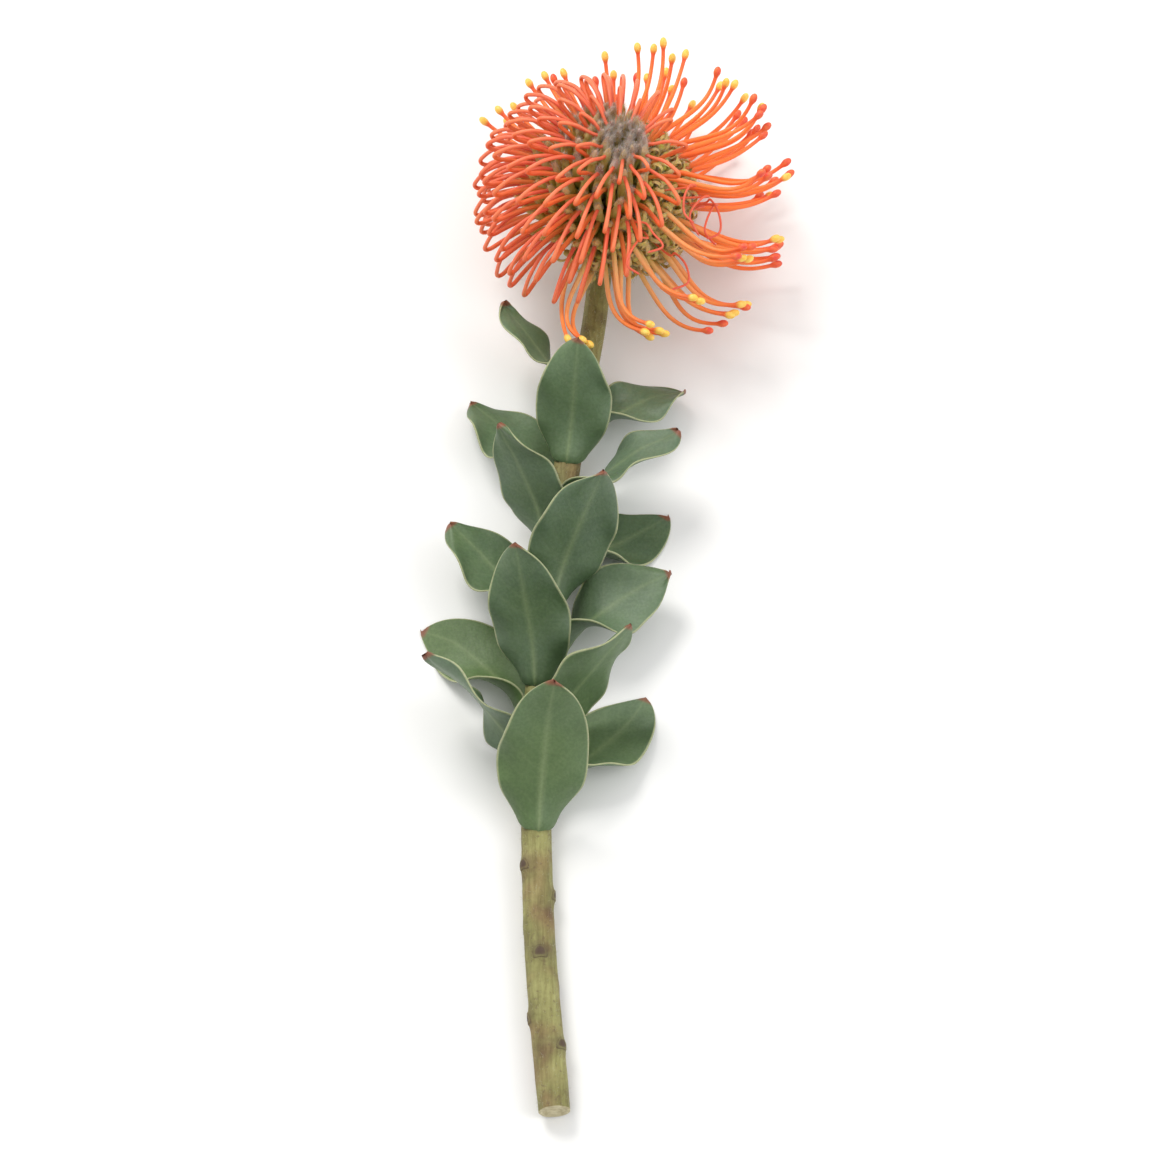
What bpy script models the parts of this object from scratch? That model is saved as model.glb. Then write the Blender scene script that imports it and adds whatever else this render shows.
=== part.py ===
"""Cut pincushion protea flower, lying on a surface.

World: +Z up, the stem runs along Y, its cut end at -Y and the flower head at +Y.
Head: its own frame has z along the head's axis, and x and y near the world's X and Y.
Lengths are in metres and angles in degrees.
"""
import math
import random

import bmesh
import bpy
from mathutils import Euler, Matrix, Vector

# Head: florets stand on a round receptacle in a golden-angle spiral, counted from the apex.
GOLDEN_ANGLE = 137.508
ROW_COUNT = 21
ROW_FLORETS = 9
CENTRE_FLORETS = 8
FLORET_COUNT = CENTRE_FLORETS + ROW_COUNT * ROW_FLORETS
LAST_POLAR = 110.0
RECEPTACLE_RADIUS = 0.0116
FOOT_RADIUS = 0.0124
HEAD_CENTRE = Vector((0.0, 0.145, 0.0325))
HEAD_TILT_FORWARD = 11.0
HEAD_TILT_SIDE = 9.0

# Which florets are open: all those further out than a limit that changes around the head.
OPEN_SIDE = 10.0
OPEN_LIMIT_LEAST = 14
OPEN_LIMIT_MOST = 225
OPEN_LIMIT_POWER = 1.5

# Released floret: (distance along it, half width), and the way its direction turns.
RELEASED_PROFILE = (
    (0.0170, 0.00150),
    (0.0210, 0.00065),
    (0.0370, 0.00060),
    (0.0500, 0.00050),
    (0.0570, 0.00100),
)
PATH_STEP = 0.001
SPREAD_BASE = 55.0
SPREAD_SHARE = 0.5
SPREAD_FROM = 0.006
SPREAD_BY = 0.024
INCURVE_FROM = 0.034
INCURVE_BY = 0.058
INCURVE = 42.0
SWIRL = 0.006

# Unopened floret: (distance from the head's centre, angle off the floret's own line, half width).
LOOPED_PROFILE = (
    (0.0290, 2.0, 0.00150),
    (0.0330, 4.0, 0.00065),
    (0.0455, 9.0, 0.00060),
    (0.0475, 4.5, 0.00060),
)
LIMB_RADIUS = 0.0330
LIMB_BACK = 11.0
LIMB_BACK_SHARE = 0.32
LIMB_HALF_WIDTH = 0.0011

# The strip of receptacle skin that joins the feet of a row.
FOOT_HALF = 0.00055
STRIP_DEPTH = 0.00035

# Tuft of buds in the middle: (distance from the head's centre, radius across).
TUFT_PROFILE = ((0.0124, 0.0030), (0.0200, 0.0042), (0.0270, 0.0050), (0.0320, 0.0048), (0.0355, 0.0022))
TUFT_LOBES = 8
TUFT_GROOVE = 0.78

# Ring of bracts under the florets.
BRACT_COUNT = 13
BRACT_POLAR = 131.0
BRACT_FOOT = 0.0122
BRACT_SECTIONS = ((0.0, 0.0020, 0.0005), (0.0045, 0.0019, 0.0005), (0.0085, 0.0004, 0.0003))
BRACT_LIFT = 3.0

# Stem: points of its centre line up to the neck, and its thickness.
STEM_POINTS = (
    (-0.020, -0.2050, 0.0057),
    (-0.026, -0.1300, 0.0062),
    (-0.026, -0.0500, 0.0082),
    (-0.018, 0.0300, 0.0108),
    (-0.007, 0.0980, 0.0130),
)
NECK_START_PULL = 0.022
NECK_END_PULL = 0.014
STEM_SPAN_RINGS = 8
NECK_RINGS = 9
STEM_SIDES = 12
STEM_RADIUS_CUT = 0.0054
STEM_RADIUS_TOP = 0.0043
NECK_POLAR = 157.0
RECEPTACLE_POLARS = (140.0, 120.0, 100.0, 80.0, 60.0, 40.0, 20.0)

# Leaves: a spiral up the stem, pressed towards its upper side by the surface below.
LEAF_COUNT = 16
LEAF_FIRST_Y = -0.104
LEAF_LAST_Y = 0.064
LEAF_FIRST_ANGLE = 12.0
LEAF_ANGLE_SHARE = 0.70
LEAF_LENGTH_LOW = 0.060
LEAF_LENGTH_TOP = 0.046
LEAF_HALF_WIDTH_SHARE = 0.27
LEAF_LENGTH_SPREAD = (0.92, 1.06)
LEAF_WIDTH_SPREAD = (0.92, 1.08)
LEAF_WIDEST_AT = 0.42
LEAF_FOOT_WIDTH = 0.42
LEAF_WIDEN_POWER = 0.8
LEAF_TAPER_POWER = 2.2
LEAF_TIP_POWER = 0.75
LEAF_TIP_WIDTH = 0.05
LEAF_THICKNESS = 0.0008
LEAF_GAP = 0.0007
LEAF_OPEN_START = (14.0, 22.0)
LEAF_OPEN_MIDDLE = (46.0, 60.0)
LEAF_TIP_BEND = (-22.0, 26.0)
LEAF_ROLL = 0.8
LEAF_ROLL_FROM = 25.0
LEAF_ROLL_BY = 75.0
LEAF_CUPPING = 12.0
LEAF_RIPPLE = 0.0016
LEAF_RIPPLE_TURNS = 9.0
LEAF_ROWS = 8
LEAF_COLUMNS = 4
LEAF_SEED = 11
FLOOR_CLEARANCE = 0.0006
FLOOR_SOFTNESS = 0.0012

ORANGE = (0.84, 0.20, 0.05)
OLIVE_BEIGE = (0.42, 0.36, 0.16)
LEAF_GREEN = (0.07, 0.16, 0.06)
STEM_OLIVE = (0.22, 0.20, 0.07)
BRACT_GREY = (0.33, 0.30, 0.22)


def smoothstep(low, high, value):
    share = min(max((value - low) / (high - low), 0.0), 1.0)
    return share * share * (3.0 - 2.0 * share)


def mix(low, high, share):
    return low + (high - low) * share


def make_material(name, colour, roughness):
    material = bpy.data.materials.new(name)
    material.use_nodes = True
    shader = material.node_tree.nodes["Principled BSDF"]
    shader.inputs["Base Color"].default_value = (*colour, 1.0)
    shader.inputs["Roughness"].default_value = roughness
    shader.inputs["Metallic"].default_value = 0.0
    return material


def make_object(name, bm, material, parent):
    """Turn a bmesh into a named, smooth-shaded object under a parent."""
    bmesh.ops.recalc_face_normals(bm, faces=bm.faces)
    mesh = bpy.data.meshes.new(name)
    bm.to_mesh(mesh)
    bm.free()
    mesh.shade_smooth()
    mesh.set_sharp_from_angle(angle=math.radians(50.0))
    mesh.materials.append(material)
    piece = bpy.data.objects.new(name, mesh)
    piece.parent = parent
    bpy.context.scene.collection.objects.link(piece)
    return piece


def add_ring(bm, points):
    return [bm.verts.new(point) for point in points]


def bridge(bm, first, second):
    """Join two closed rings of equal length with quads."""
    count = len(first)
    for side in range(count):
        after = (side + 1) % count
        bm.faces.new((first[side], first[after], second[after], second[side]))


# ---------------------------------------------------------------- the head's own frame


def head_matrix():
    turn = Euler((math.radians(-HEAD_TILT_FORWARD), math.radians(HEAD_TILT_SIDE), 0.0), "XYZ")
    return Matrix.Translation(HEAD_CENTRE) @ turn.to_matrix().to_4x4()


def head_point(radius, polar, azimuth):
    """Point at a distance from the head's centre, an angle off its axis and an angle around it."""
    off_axis = math.radians(polar)
    around = math.radians(azimuth)
    across = math.sin(off_axis)
    return radius * Vector((across * math.cos(around), across * math.sin(around), math.cos(off_axis)))


def floret_polar(index):
    share = (index + 0.5) / FLORET_COUNT
    return math.degrees(math.acos(1.0 - share * (1.0 - math.cos(math.radians(LAST_POLAR)))))


def floret_azimuth(index):
    return (index * GOLDEN_ANGLE) % 360.0


def is_released(index):
    """Florets open from the outside inwards, and earlier on the open side."""
    away = 0.5 - 0.5 * math.cos(math.radians(floret_azimuth(index) - OPEN_SIDE))
    return index > mix(OPEN_LIMIT_LEAST, OPEN_LIMIT_MOST, away ** OPEN_LIMIT_POWER)


# ---------------------------------------------------------------- florets


def released_stations(index):
    """Points and half widths of an open floret: it spreads, then its tip curves in."""
    polar = floret_polar(index)
    azimuth = floret_azimuth(index)
    spread = SPREAD_BASE + SPREAD_SHARE * polar
    outward = head_point(1.0, 90.0, azimuth)
    sideways = head_point(1.0, 90.0, azimuth + 90.0)
    point = head_point(FOOT_RADIUS, polar, azimuth)
    travelled = 0.0
    stations = []
    for distance, half_width in RELEASED_PROFILE:
        while travelled < distance:
            angle = mix(polar, spread, smoothstep(SPREAD_FROM, SPREAD_BY, travelled))
            angle -= INCURVE * smoothstep(INCURVE_FROM, INCURVE_BY, travelled)
            rise = Vector((0.0, 0.0, math.cos(math.radians(angle))))
            point = point + PATH_STEP * (math.sin(math.radians(angle)) * outward + rise)
            travelled += PATH_STEP
        drift = SWIRL * (travelled / INCURVE_BY) ** 2
        stations.append((point + drift * sideways, half_width))
    return stations


def looped_stations(index):
    """Points and half widths of an unopened floret: out to a hairpin, and back to its limb."""
    polar = floret_polar(index)
    azimuth = floret_azimuth(index)
    stations = []
    for radius, bend, half_width in LOOPED_PROFILE:
        stations.append((head_point(radius, polar + bend, azimuth), half_width))
    back = min(LIMB_BACK, LIMB_BACK_SHARE * polar)
    stations.append((head_point(LIMB_RADIUS, polar - back, azimuth), LIMB_HALF_WIDTH))
    return stations


def add_floret(bm, foot_ring, index):
    """Grow a four-sided tube from the quad of its foot along the floret's line."""
    stations = released_stations(index) if is_released(index) else looped_stations(index)
    side = head_point(1.0, 90.0, floret_azimuth(index) + 90.0)
    points = [head_point(FOOT_RADIUS, floret_polar(index), floret_azimuth(index))]
    points += [point for point, half_width in stations]
    ring = foot_ring
    for place, (point, half_width) in enumerate(stations, start=1):
        ahead = points[min(place + 1, len(points) - 1)]
        along = (ahead - points[place - 1]).normalized()
        forward = side.cross(along).normalized() * half_width
        across = along.cross(forward).normalized() * half_width
        corners = (forward + across, across - forward, -forward - across, forward - across)
        following = add_ring(bm, [point + corner for corner in corners])
        bridge(bm, ring, following)
        ring = following
    bm.faces.new(ring)


def strip_section(bm, centre, across, inward):
    """Left, right and lower corner of the strip at one place."""
    return add_ring(bm, (centre + across, centre - across, centre + inward))


def floret_row(row, parent, material):
    """A spiral row of florets, joined at their feet by a narrow strip."""
    bm = bmesh.new()
    indices = [CENTRE_FLORETS + row + step * ROW_COUNT for step in range(ROW_FLORETS)]
    feet = [head_point(FOOT_RADIUS, floret_polar(index), floret_azimuth(index)) for index in indices]
    end = None
    for place, index in enumerate(indices):
        foot = feet[place]
        outward = foot.normalized()
        along = feet[min(place + 1, ROW_FLORETS - 1)] - feet[max(place - 1, 0)]
        along = (along - along.dot(outward) * outward).normalized() * FOOT_HALF
        across = outward.cross(along)
        inward = -STRIP_DEPTH * outward
        before = strip_section(bm, foot - along, across, inward)
        after = strip_section(bm, foot + along, across, inward)
        if end is None:
            bm.faces.new(before)
        else:
            bridge(bm, end, before)
        bm.faces.new((before[0], after[0], after[2], before[2]))
        bm.faces.new((before[1], after[1], after[2], before[2]))
        add_floret(bm, (after[0], before[0], before[1], after[1]), index)
        end = after
    bm.faces.new(end)
    bm.transform(head_matrix())
    return make_object(f"floret_row_{row + 1:02d}", bm, material, parent)


def centre_buds(parent, material):
    """The tuft of unopened buds at the apex, lobed like the buds that it is made of."""
    bm = bmesh.new()
    rings = []
    for height, radius in TUFT_PROFILE:
        points = []
        for corner in range(2 * TUFT_LOBES):
            reach = radius * (TUFT_GROOVE if corner % 2 else 1.0)
            points.append(head_point(reach, 90.0, 180.0 * corner / TUFT_LOBES) + Vector((0.0, 0.0, height)))
        rings.append(add_ring(bm, points))
    for lower, upper in zip(rings, rings[1:]):
        bridge(bm, lower, upper)
    bm.faces.new(rings[0])
    bm.faces.new(rings[-1])
    bm.transform(head_matrix())
    return make_object("centre_buds", bm, material, parent)


def bract(number, parent, material):
    """One pointed scale of the ring under the florets."""
    azimuth = 360.0 * number / BRACT_COUNT
    outward = head_point(1.0, BRACT_POLAR, azimuth)
    side = head_point(1.0, 90.0, azimuth + 90.0)
    over = outward.cross(side)
    bm = bmesh.new()
    rings = []
    for distance, half_width, half_height in BRACT_SECTIONS:
        polar = BRACT_POLAR - BRACT_LIFT * distance / BRACT_FOOT
        middle = head_point(BRACT_FOOT + distance, polar, azimuth)
        across = half_width * side
        up = half_height * over
        corners = (across + up, up - across, -across - up, across - up)
        rings.append(add_ring(bm, [middle + corner for corner in corners]))
    for lower, upper in zip(rings, rings[1:]):
        bridge(bm, lower, upper)
    bm.faces.new(rings[0])
    bm.faces.new(rings[-1])
    bm.transform(head_matrix())
    return make_object(f"bract_{number + 1:02d}", bm, material, parent)


# ---------------------------------------------------------------- stem


def spline_point(points, place):
    """Catmull-Rom curve through points; place counts them, with fractions in between."""
    span = min(int(place), len(points) - 2)
    share = place - span
    before = points[max(span - 1, 0)]
    start, end = points[span], points[span + 1]
    after = points[min(span + 2, len(points) - 1)]
    return 0.5 * (
        2.0 * start
        + (end - before) * share
        + (2.0 * before - 5.0 * start + 4.0 * end - after) * share ** 2
        + (3.0 * start - before - 3.0 * end + after) * share ** 3
    )


def stem_line():
    """Centre line from the cut end to the foot of the receptacle."""
    points = [Vector(point) for point in STEM_POINTS]
    spans = len(points) - 1
    line = [spline_point(points, step / STEM_SPAN_RINGS) for step in range(spans * STEM_SPAN_RINGS)]
    start = points[-1]
    neck_depth = -RECEPTACLE_RADIUS * math.cos(math.radians(NECK_POLAR))
    end = head_matrix() @ head_point(neck_depth, 180.0, 0.0)
    axis = (HEAD_CENTRE - end).normalized()
    pull_start = start + NECK_START_PULL * (start - line[-1]).normalized()
    pull_end = end - NECK_END_PULL * axis
    for step in range(NECK_RINGS):
        share = step / (NECK_RINGS - 1)
        rest = 1.0 - share
        line.append(
            rest ** 3 * start
            + 3.0 * rest ** 2 * share * pull_start
            + 3.0 * rest * share ** 2 * pull_end
            + share ** 3 * end
        )
    return line


def stem_radius(share):
    return mix(STEM_RADIUS_CUT, STEM_RADIUS_TOP, share)


def add_round(bm, middle, radius, side, over):
    """Ring of corners around a point of the stem or of the receptacle."""
    points = []
    for corner in range(STEM_SIDES):
        angle = 2.0 * math.pi * corner / STEM_SIDES
        points.append(middle + radius * (math.cos(angle) * side + math.sin(angle) * over))
    return add_ring(bm, points)


def stem(line, parent, material):
    """Stem, bent neck and receptacle, which are one grown piece."""
    bm = bmesh.new()
    rings = []
    last = len(line) - 1
    side = Vector((1.0, 0.0, 0.0))
    for place, point in enumerate(line):
        along = (line[min(place + 1, last)] - line[max(place - 1, 0)]).normalized()
        side = (side - side.dot(along) * along).normalized()
        over = side.cross(along)
        rings.append(add_round(bm, point, stem_radius(place / last), side, over))
    for polar in RECEPTACLE_POLARS:
        reach = RECEPTACLE_RADIUS * math.sin(math.radians(polar))
        middle = HEAD_CENTRE + RECEPTACLE_RADIUS * math.cos(math.radians(polar)) * along
        rings.append(add_round(bm, middle, reach, side, over))
    for lower, upper in zip(rings, rings[1:]):
        bridge(bm, lower, upper)
    bm.faces.new(rings[0])
    apex = bm.verts.new(HEAD_CENTRE + RECEPTACLE_RADIUS * along)
    for corner in range(STEM_SIDES):
        bm.faces.new((rings[-1][corner], rings[-1][(corner + 1) % STEM_SIDES], apex))
    return make_object("stem", bm, material, parent)


# ---------------------------------------------------------------- leaves


def lift_off_floor(point):
    """Bend whatever would pass through the surface below so that it lies on it."""
    above = (point.z - FLOOR_CLEARANCE) / FLOOR_SOFTNESS
    if above < 20.0:
        point.z = FLOOR_CLEARANCE + FLOOR_SOFTNESS * math.log1p(math.exp(above))
    return point


def leaf_outline(share):
    """Half width of the blade along its length, as a share of the widest: ovate, with a broad foot."""
    towards_widest = math.sin(0.5 * math.pi * min(share / LEAF_WIDEST_AT, 1.0))
    widen = mix(LEAF_FOOT_WIDTH, 1.0, towards_widest ** LEAF_WIDEN_POWER)
    past_widest = max(share - LEAF_WIDEST_AT, 0.0) / (1.0 - LEAF_WIDEST_AT)
    taper = max(1.0 - past_widest ** LEAF_TAPER_POWER, 0.0)
    return max(widen * taper ** LEAF_TIP_POWER, LEAF_TIP_WIDTH)


def leaf_place(number, line):
    """Where a leaf leaves the stem: the step of the line, the point, the stem's direction and the way out."""
    target = mix(LEAF_FIRST_Y, LEAF_LAST_Y, number / (LEAF_COUNT - 1))
    place = next(step for step, point in enumerate(line) if point.y > target)
    along = (line[place] - line[place - 1]).normalized()
    between = (target - line[place - 1].y) / (line[place].y - line[place - 1].y)
    centre = line[place - 1].lerp(line[place], between)
    up = (Vector((0.0, 0.0, 1.0)) - along.z * along).normalized()
    right = along.cross(up)
    turn = math.radians(leaf_angle(number))
    return place, centre, along, math.cos(turn) * up + math.sin(turn) * right


def leaf_angle(number):
    """Angle of a leaf around the stem, off the upward direction."""
    raw = (LEAF_FIRST_ANGLE + number * GOLDEN_ANGLE + 180.0) % 360.0 - 180.0
    return LEAF_ANGLE_SHARE * raw


def leaf(number, line, parent, material):
    """One leathery leaf, clasping the stem and bending away from it."""
    chance = random.Random(LEAF_SEED + number)
    place, centre, along, away = leaf_place(number, line)
    share = number / (LEAF_COUNT - 1)
    length = mix(LEAF_LENGTH_LOW, LEAF_LENGTH_TOP, share) * chance.uniform(*LEAF_LENGTH_SPREAD)
    widest = length * LEAF_HALF_WIDTH_SHARE * chance.uniform(*LEAF_WIDTH_SPREAD)
    open_start = chance.uniform(*LEAF_OPEN_START)
    open_middle = chance.uniform(*LEAF_OPEN_MIDDLE)
    open_tip = open_middle + chance.uniform(*LEAF_TIP_BEND)
    wave = chance.uniform(0.0, 2.0 * math.pi)
    roll = LEAF_ROLL * smoothstep(LEAF_ROLL_FROM, LEAF_ROLL_BY, abs(leaf_angle(number)))

    clasp = stem_radius(place / (len(line) - 1)) + LEAF_GAP + 0.5 * LEAF_THICKNESS
    point = centre + clasp * away
    grid = []
    for step in range(LEAF_ROWS + 1):
        reached = step / LEAF_ROWS
        opening = mix(open_start, open_middle, smoothstep(0.0, 0.5, reached))
        opening = math.radians(mix(opening, open_tip, smoothstep(0.55, 1.0, reached)))
        forward = math.cos(opening) * along + math.sin(opening) * away
        if step:
            point = point + forward * length / LEAF_ROWS
        outward = math.cos(opening) * away - math.sin(opening) * along
        down = Vector((0.0, 0.0, -1.0))
        down = (down - down.dot(forward) * forward).normalized()
        facing = outward.lerp(down, roll * smoothstep(0.05, 0.6, reached)).normalized()
        across = forward.cross(facing)
        half = widest * leaf_outline(reached)
        curl = mix(1.0 / clasp, LEAF_CUPPING, smoothstep(0.0, 0.3, reached))
        row = []
        for column in range(LEAF_COLUMNS + 1):
            sideways = 2.0 * column / LEAF_COLUMNS - 1.0
            arc = sideways * half * curl
            offset = (math.cos(arc) - 1.0) / curl * facing + math.sin(arc) / curl * across
            ripple = LEAF_RIPPLE * sideways ** 2 * smoothstep(0.15, 0.4, reached)
            ripple *= math.sin(wave + LEAF_RIPPLE_TURNS * reached + 2.0 * sideways)
            row.append((lift_off_floor(point + offset + ripple * facing), facing))
        grid.append(row)
    bm = bmesh.new()
    add_sheet(bm, grid, 0.5 * LEAF_THICKNESS)
    return make_object(f"leaf_{number + 1:02d}", bm, material, parent)


def sheet_normal(grid, row, column):
    """Normal of a grid of points at one of them."""
    rows = (grid[max(row - 1, 0)][column][0], grid[min(row + 1, len(grid) - 1)][column][0])
    columns = (grid[row][max(column - 1, 0)][0], grid[row][min(column + 1, len(grid[row]) - 1)][0])
    normal = (rows[1] - rows[0]).cross(columns[1] - columns[0]).normalized()
    return normal if normal.dot(grid[row][column][1]) > 0.0 else -normal


def add_sheet(bm, grid, half_thickness):
    """Closed sheet of even thickness around a grid of points."""
    sides = []
    for sign in (1.0, -1.0):
        layer = []
        for row, cells in enumerate(grid):
            normals = [sheet_normal(grid, row, column) for column in range(len(cells))]
            points = [cell[0] + sign * half_thickness * normal for cell, normal in zip(cells, normals)]
            layer.append(add_ring(bm, points))
        sides.append(layer)
    upper, lower = sides
    rows, columns = len(grid) - 1, len(grid[0]) - 1
    for layer in sides:
        for row in range(rows):
            for column in range(columns):
                first, second = layer[row], layer[row + 1]
                bm.faces.new((first[column], first[column + 1], second[column + 1], second[column]))
    for row in range(rows):
        for edge in (0, columns):
            bm.faces.new((upper[row][edge], upper[row + 1][edge], lower[row + 1][edge], lower[row][edge]))
    for column in range(columns):
        for edge in (0, rows):
            top, under = upper[edge], lower[edge]
            bm.faces.new((top[column], top[column + 1], under[column + 1], under[column]))


# ---------------------------------------------------------------- the whole flower


def rest_on_origin(pieces, parent):
    """Move the flower so that the middle of its box's lower face is the origin."""
    corners = [vertex.co for piece in pieces for vertex in piece.data.vertices]
    low = Vector([min(corner[axis] for corner in corners) for axis in range(3)])
    high = Vector([max(corner[axis] for corner in corners) for axis in range(3)])
    middle = 0.5 * (low + high)
    parent.location = (-middle.x, -middle.y, -low.z)


def main():
    for item in list(bpy.data.objects):
        bpy.data.objects.remove(item, do_unlink=True)
    flower = bpy.data.objects.new("flower", None)
    bpy.context.scene.collection.objects.link(flower)

    stem_finish = make_material("stem", STEM_OLIVE, 0.7)
    leaf_finish = make_material("leaf", LEAF_GREEN, 0.5)
    bract_finish = make_material("bract", BRACT_GREY, 0.9)
    bud_finish = make_material("bud", OLIVE_BEIGE, 0.9)
    floret_finish = make_material("floret", ORANGE, 0.5)

    line = stem_line()
    pieces = [stem(line, flower, stem_finish), centre_buds(flower, bud_finish)]
    pieces += [leaf(number, line, flower, leaf_finish) for number in range(LEAF_COUNT)]
    pieces += [bract(number, flower, bract_finish) for number in range(BRACT_COUNT)]
    pieces += [floret_row(row, flower, floret_finish) for row in range(ROW_COUNT)]
    rest_on_origin(pieces, flower)


main()
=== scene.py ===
"""Looks of a cut pincushion protea flower lying on a surface.

The shapes follow the frame's own layout: the stem runs along Y, the head's florets stand in a
golden-angle spiral, and each visible piece hides the CAD node it stands in for.
Lengths are in metres and angles in degrees.
"""
import math
import random

import bpy
import numpy as np
from mathutils import Euler, Matrix, Vector


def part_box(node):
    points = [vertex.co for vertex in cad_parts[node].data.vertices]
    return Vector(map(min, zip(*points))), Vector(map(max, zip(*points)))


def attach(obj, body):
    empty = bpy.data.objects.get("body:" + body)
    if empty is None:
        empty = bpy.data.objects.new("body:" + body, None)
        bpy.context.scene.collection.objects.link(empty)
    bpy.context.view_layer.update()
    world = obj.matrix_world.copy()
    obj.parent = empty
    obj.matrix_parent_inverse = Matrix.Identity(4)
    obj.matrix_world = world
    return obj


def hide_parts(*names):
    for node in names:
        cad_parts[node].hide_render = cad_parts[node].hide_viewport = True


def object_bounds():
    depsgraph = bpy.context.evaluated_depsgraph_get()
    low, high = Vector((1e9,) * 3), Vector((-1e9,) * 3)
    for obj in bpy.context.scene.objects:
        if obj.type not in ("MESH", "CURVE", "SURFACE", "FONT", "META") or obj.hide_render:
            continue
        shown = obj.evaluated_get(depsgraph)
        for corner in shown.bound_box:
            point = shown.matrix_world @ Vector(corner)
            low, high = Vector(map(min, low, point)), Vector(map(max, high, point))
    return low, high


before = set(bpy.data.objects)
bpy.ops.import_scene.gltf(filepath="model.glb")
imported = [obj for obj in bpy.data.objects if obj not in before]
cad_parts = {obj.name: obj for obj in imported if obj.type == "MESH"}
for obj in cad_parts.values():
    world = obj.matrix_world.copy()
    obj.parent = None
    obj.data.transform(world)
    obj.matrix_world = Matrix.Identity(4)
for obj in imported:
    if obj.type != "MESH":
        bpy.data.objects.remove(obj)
cad_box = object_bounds()

# The flower's layout, as in the CAD model.
GOLDEN_ANGLE = 137.508
ROW_COUNT = 21
ROW_FLORETS = 9
CENTRE_FLORETS = 8
FLORET_COUNT = CENTRE_FLORETS + ROW_COUNT * ROW_FLORETS
LAST_POLAR = 110.0
RECEPTACLE_RADIUS = 0.0116
FOOT_RADIUS = 0.0124
HEAD_CENTRE = Vector((0.0, 0.145, 0.0325))
HEAD_TILT_FORWARD = 11.0
HEAD_TILT_SIDE = 9.0
OPEN_SIDE = 10.0
OPEN_LIMIT_LEAST = 14
OPEN_LIMIT_MOST = 225
OPEN_LIMIT_POWER = 1.5

STYLE_LENGTH = 0.0580
STYLE_STEPS = 40
STYLE_SIDES = 10
STYLE_RADIUS_FOOT = 0.00096
STYLE_RADIUS_TIP = 0.00073
KNOB_RADIUS = 0.00138
KNOB_SHARE = 0.082
SPREAD_BASE = 55.0
SPREAD_SHARE = 0.5
INCURVE = 42.0
HOOK_LEAST = 10.0
HOOK_MOST = 46.0
BUNDLE_MOST = 5
BUNDLE_ANGLE = 19.0
BUNDLE_PULL = 0.62
BUNDLE_PULL_TOP = 0.30
CURLY_RADIUS = 0.00042

LOOP_RADIUS_FOOT = 0.00085
LOOP_RADIUS_TIP = 0.00073
LIMB_BACK = 13.0
LIMB_BACK_SHARE = 0.45
LIMB_RADIUS = 0.0335

STEM_POINTS = (
    (-0.020, -0.2050, 0.0057),
    (-0.026, -0.1300, 0.0062),
    (-0.026, -0.0500, 0.0082),
    (-0.018, 0.0300, 0.0108),
    (-0.007, 0.0980, 0.0130),
)
NECK_START_PULL = 0.022
NECK_END_PULL = 0.014
NECK_POLAR = 157.0
STEM_RADIUS_CUT = 0.0054
STEM_RADIUS_TOP = 0.0043
STEM_HAIRS = 2600
STEM_HAIR_LENGTH = 0.0013
STEM_HAIR_SEED = 5
SCAR_REACH = (0.001, 0.30, 0.55, 0.68, 0.78, 0.88, 0.96, 1.04)
SCAR_HEIGHTS = (0.00005, 0.00005, 0.00008, 0.00018, 0.00022, 0.00016, 0.00004, -0.00020)
SCAR_MARKS = (1.00, 0.95, 0.85, 0.50, 0.35, 0.50, 0.80, 0.60)
SCAR_SIDES = 28
SCAR_CURVE = 0.75
SCAR_HALF_HEIGHT = 0.0011
SCAR_HALF_TURN = 0.46
CAD_SPAN_RINGS = 8
CAD_NECK_RINGS = 9

LEAF_COUNT = 16
LEAF_FIRST_Y = -0.104
LEAF_LAST_Y = 0.064
LEAF_FIRST_ANGLE = 12.0
LEAF_ANGLE_SHARE = 0.70
LEAF_LENGTH_LOW = 0.060
LEAF_LENGTH_TOP = 0.046
LEAF_HALF_WIDTH_SHARE = 0.27
LEAF_THICKNESS = 0.0008
LEAF_GAP = 0.0007
LEAF_ROLL = 0.8
LEAF_ROLL_FROM = 25.0
LEAF_ROLL_BY = 75.0
LEAF_CUPPING = 12.0
LEAF_RIPPLE = 0.0016
LEAF_RIPPLE_TURNS = 9.0
LEAF_SEED = 11
LEAF_BASE_SHARE = 0.075
LEAF_DRAWN_IN = 0.0013
LEAF_FLUTTER = 0.0014
LEAF_TWIST = 24.0
LEAF_RECURVE = 0.0060
FLOOR_CLEARANCE = 0.0006
FLOOR_SOFTNESS = 0.0012
FLOOR_GAP = 0.0002
FLOOR_EASE = 0.0003

LOBE_RINGS = 17
LIMB_RINGS = 13
LIMB_SIDES = 16
HAIR_RADII = (0.000036, 0.000030, 0.000006)
HAIR_BEND = 0.10

BRACT_COUNT = 13
BRACT_POLAR = 131.0
BRACT_FOOT = 0.0122

CAMERA_ELEVATION = 62.0
CAMERA_DISTANCE = 1.40
CAMERA_AIM_STEPS = 5
CAMERA_FILL = 0.93
HEAD_REACH = 0.060

# What a point of a floret is, for its material.
FREE_STYLE, LOOPED_STYLE, PERIANTH, WOOL = 0.0, 1.0, 2.0, 3.0


def smoothstep(low, high, value):
    share = np.clip((np.asarray(value, dtype=float) - low) / (high - low), 0.0, 1.0)
    return share * share * (3.0 - 2.0 * share)


def mix(low, high, share):
    return low + (high - low) * share


def unit(vectors):
    return vectors / np.maximum(np.linalg.norm(vectors, axis=-1, keepdims=True), 1e-12)


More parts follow.
